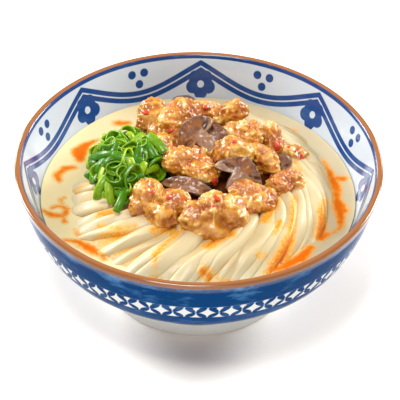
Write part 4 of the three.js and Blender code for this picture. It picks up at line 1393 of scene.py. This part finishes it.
# The core shows only in the heap's gaps and takes the darkest tone: painted shade.
heap_part = capped(heap_rings, *heap_ends, tone=none + 0.02, cut=none, inner=none)
make_piece("spring_onion_core", [heap_part], onion_finish, ["scallions"])
make_piece("spring_onion_cuts", cut_parts, onion_finish, ["scallions"])

# %% [markdown]
# ## Studio
#
# The bowl stands on a pale floor under soft studio light. Two strong lamps at its sides, a little
# behind, leave a short soft shadow in front of the foot and bring out the relief. One high lamp, a
# little in front, lights the food from above and the far side of the inner wall. Two weak lamps far
# back draw the line of light along the lip, and a low warm lamp in front, with a dim warm room,
# keeps the shadow a warm grey. The view transform is Standard, so that the painted colours come out
# as given.

# %% Floor and light
paper, tree, place = new_material("pale_matt_paper")
pulp = add(tree, "TexNoise", {"Vector": place, "Scale": grain(1.5), "Detail": 2})
colour = add(tree, "MixRGB", {"Fac": pulp, "Color1": "#F4F4F0", "Color2": "#F8F8F5"})
finish_material(tree, Base_Color=colour, Roughness=0.9)
floor_half = 3.0
floor_mesh = bpy.data.meshes.new("floor")
signs = [(-1, -1), (1, -1), (1, 1), (-1, 1)]
floor_corners = [(x * floor_half, y * floor_half, 0) for x, y in signs]
floor_mesh.from_pydata(floor_corners, [], [(0, 1, 2, 3)])
floor_mesh.materials.append(paper)
new_object("floor", floor_mesh)

# Lamps: name, place in m, width in m, power in W, colour.
lights = [
    ("key", (-0.15, -0.38, 1.47), 0.5, 19, "#FFFFFF"),
    ("left", (-1.2, 0.75, 0.75), 0.5, 30, "#FFFFFF"),
    ("right", (1.2, 0.75, 0.75), 0.5, 31, "#FFFFFF"),
    ("left_strip", (-0.85, 1.25, 0.6), 0.3, 8, "#FFFFFF"),
    ("right_strip", (0.85, 1.25, 0.6), 0.3, 4, "#FFFFFF"),
    ("front", (0.0, -1.4, 0.55), 0.9, 10, "#FFF0E2"),
]
for name, at, size, power, tint in lights:
    lamp = bpy.data.lights.new(name, "AREA")
    lamp.color = linear(tint)[:3]
    lamp.size = size
    lamp.energy = power
    holder = new_object(name, lamp)
    holder.location = at
    holder.rotation_mode = "QUATERNION"
    holder.rotation_quaternion = (axis_point - Vector(at)).to_track_quat("-Z", "Y")

room = bpy.data.worlds.new("warm_room")
room.use_nodes = True
room_light = room.node_tree.nodes["Background"].inputs
room_light["Color"].default_value = linear("#FFD6AE")
room_light["Strength"].default_value = 0.22
bpy.context.scene.world = room
bpy.context.scene.view_settings.view_transform = "Standard"
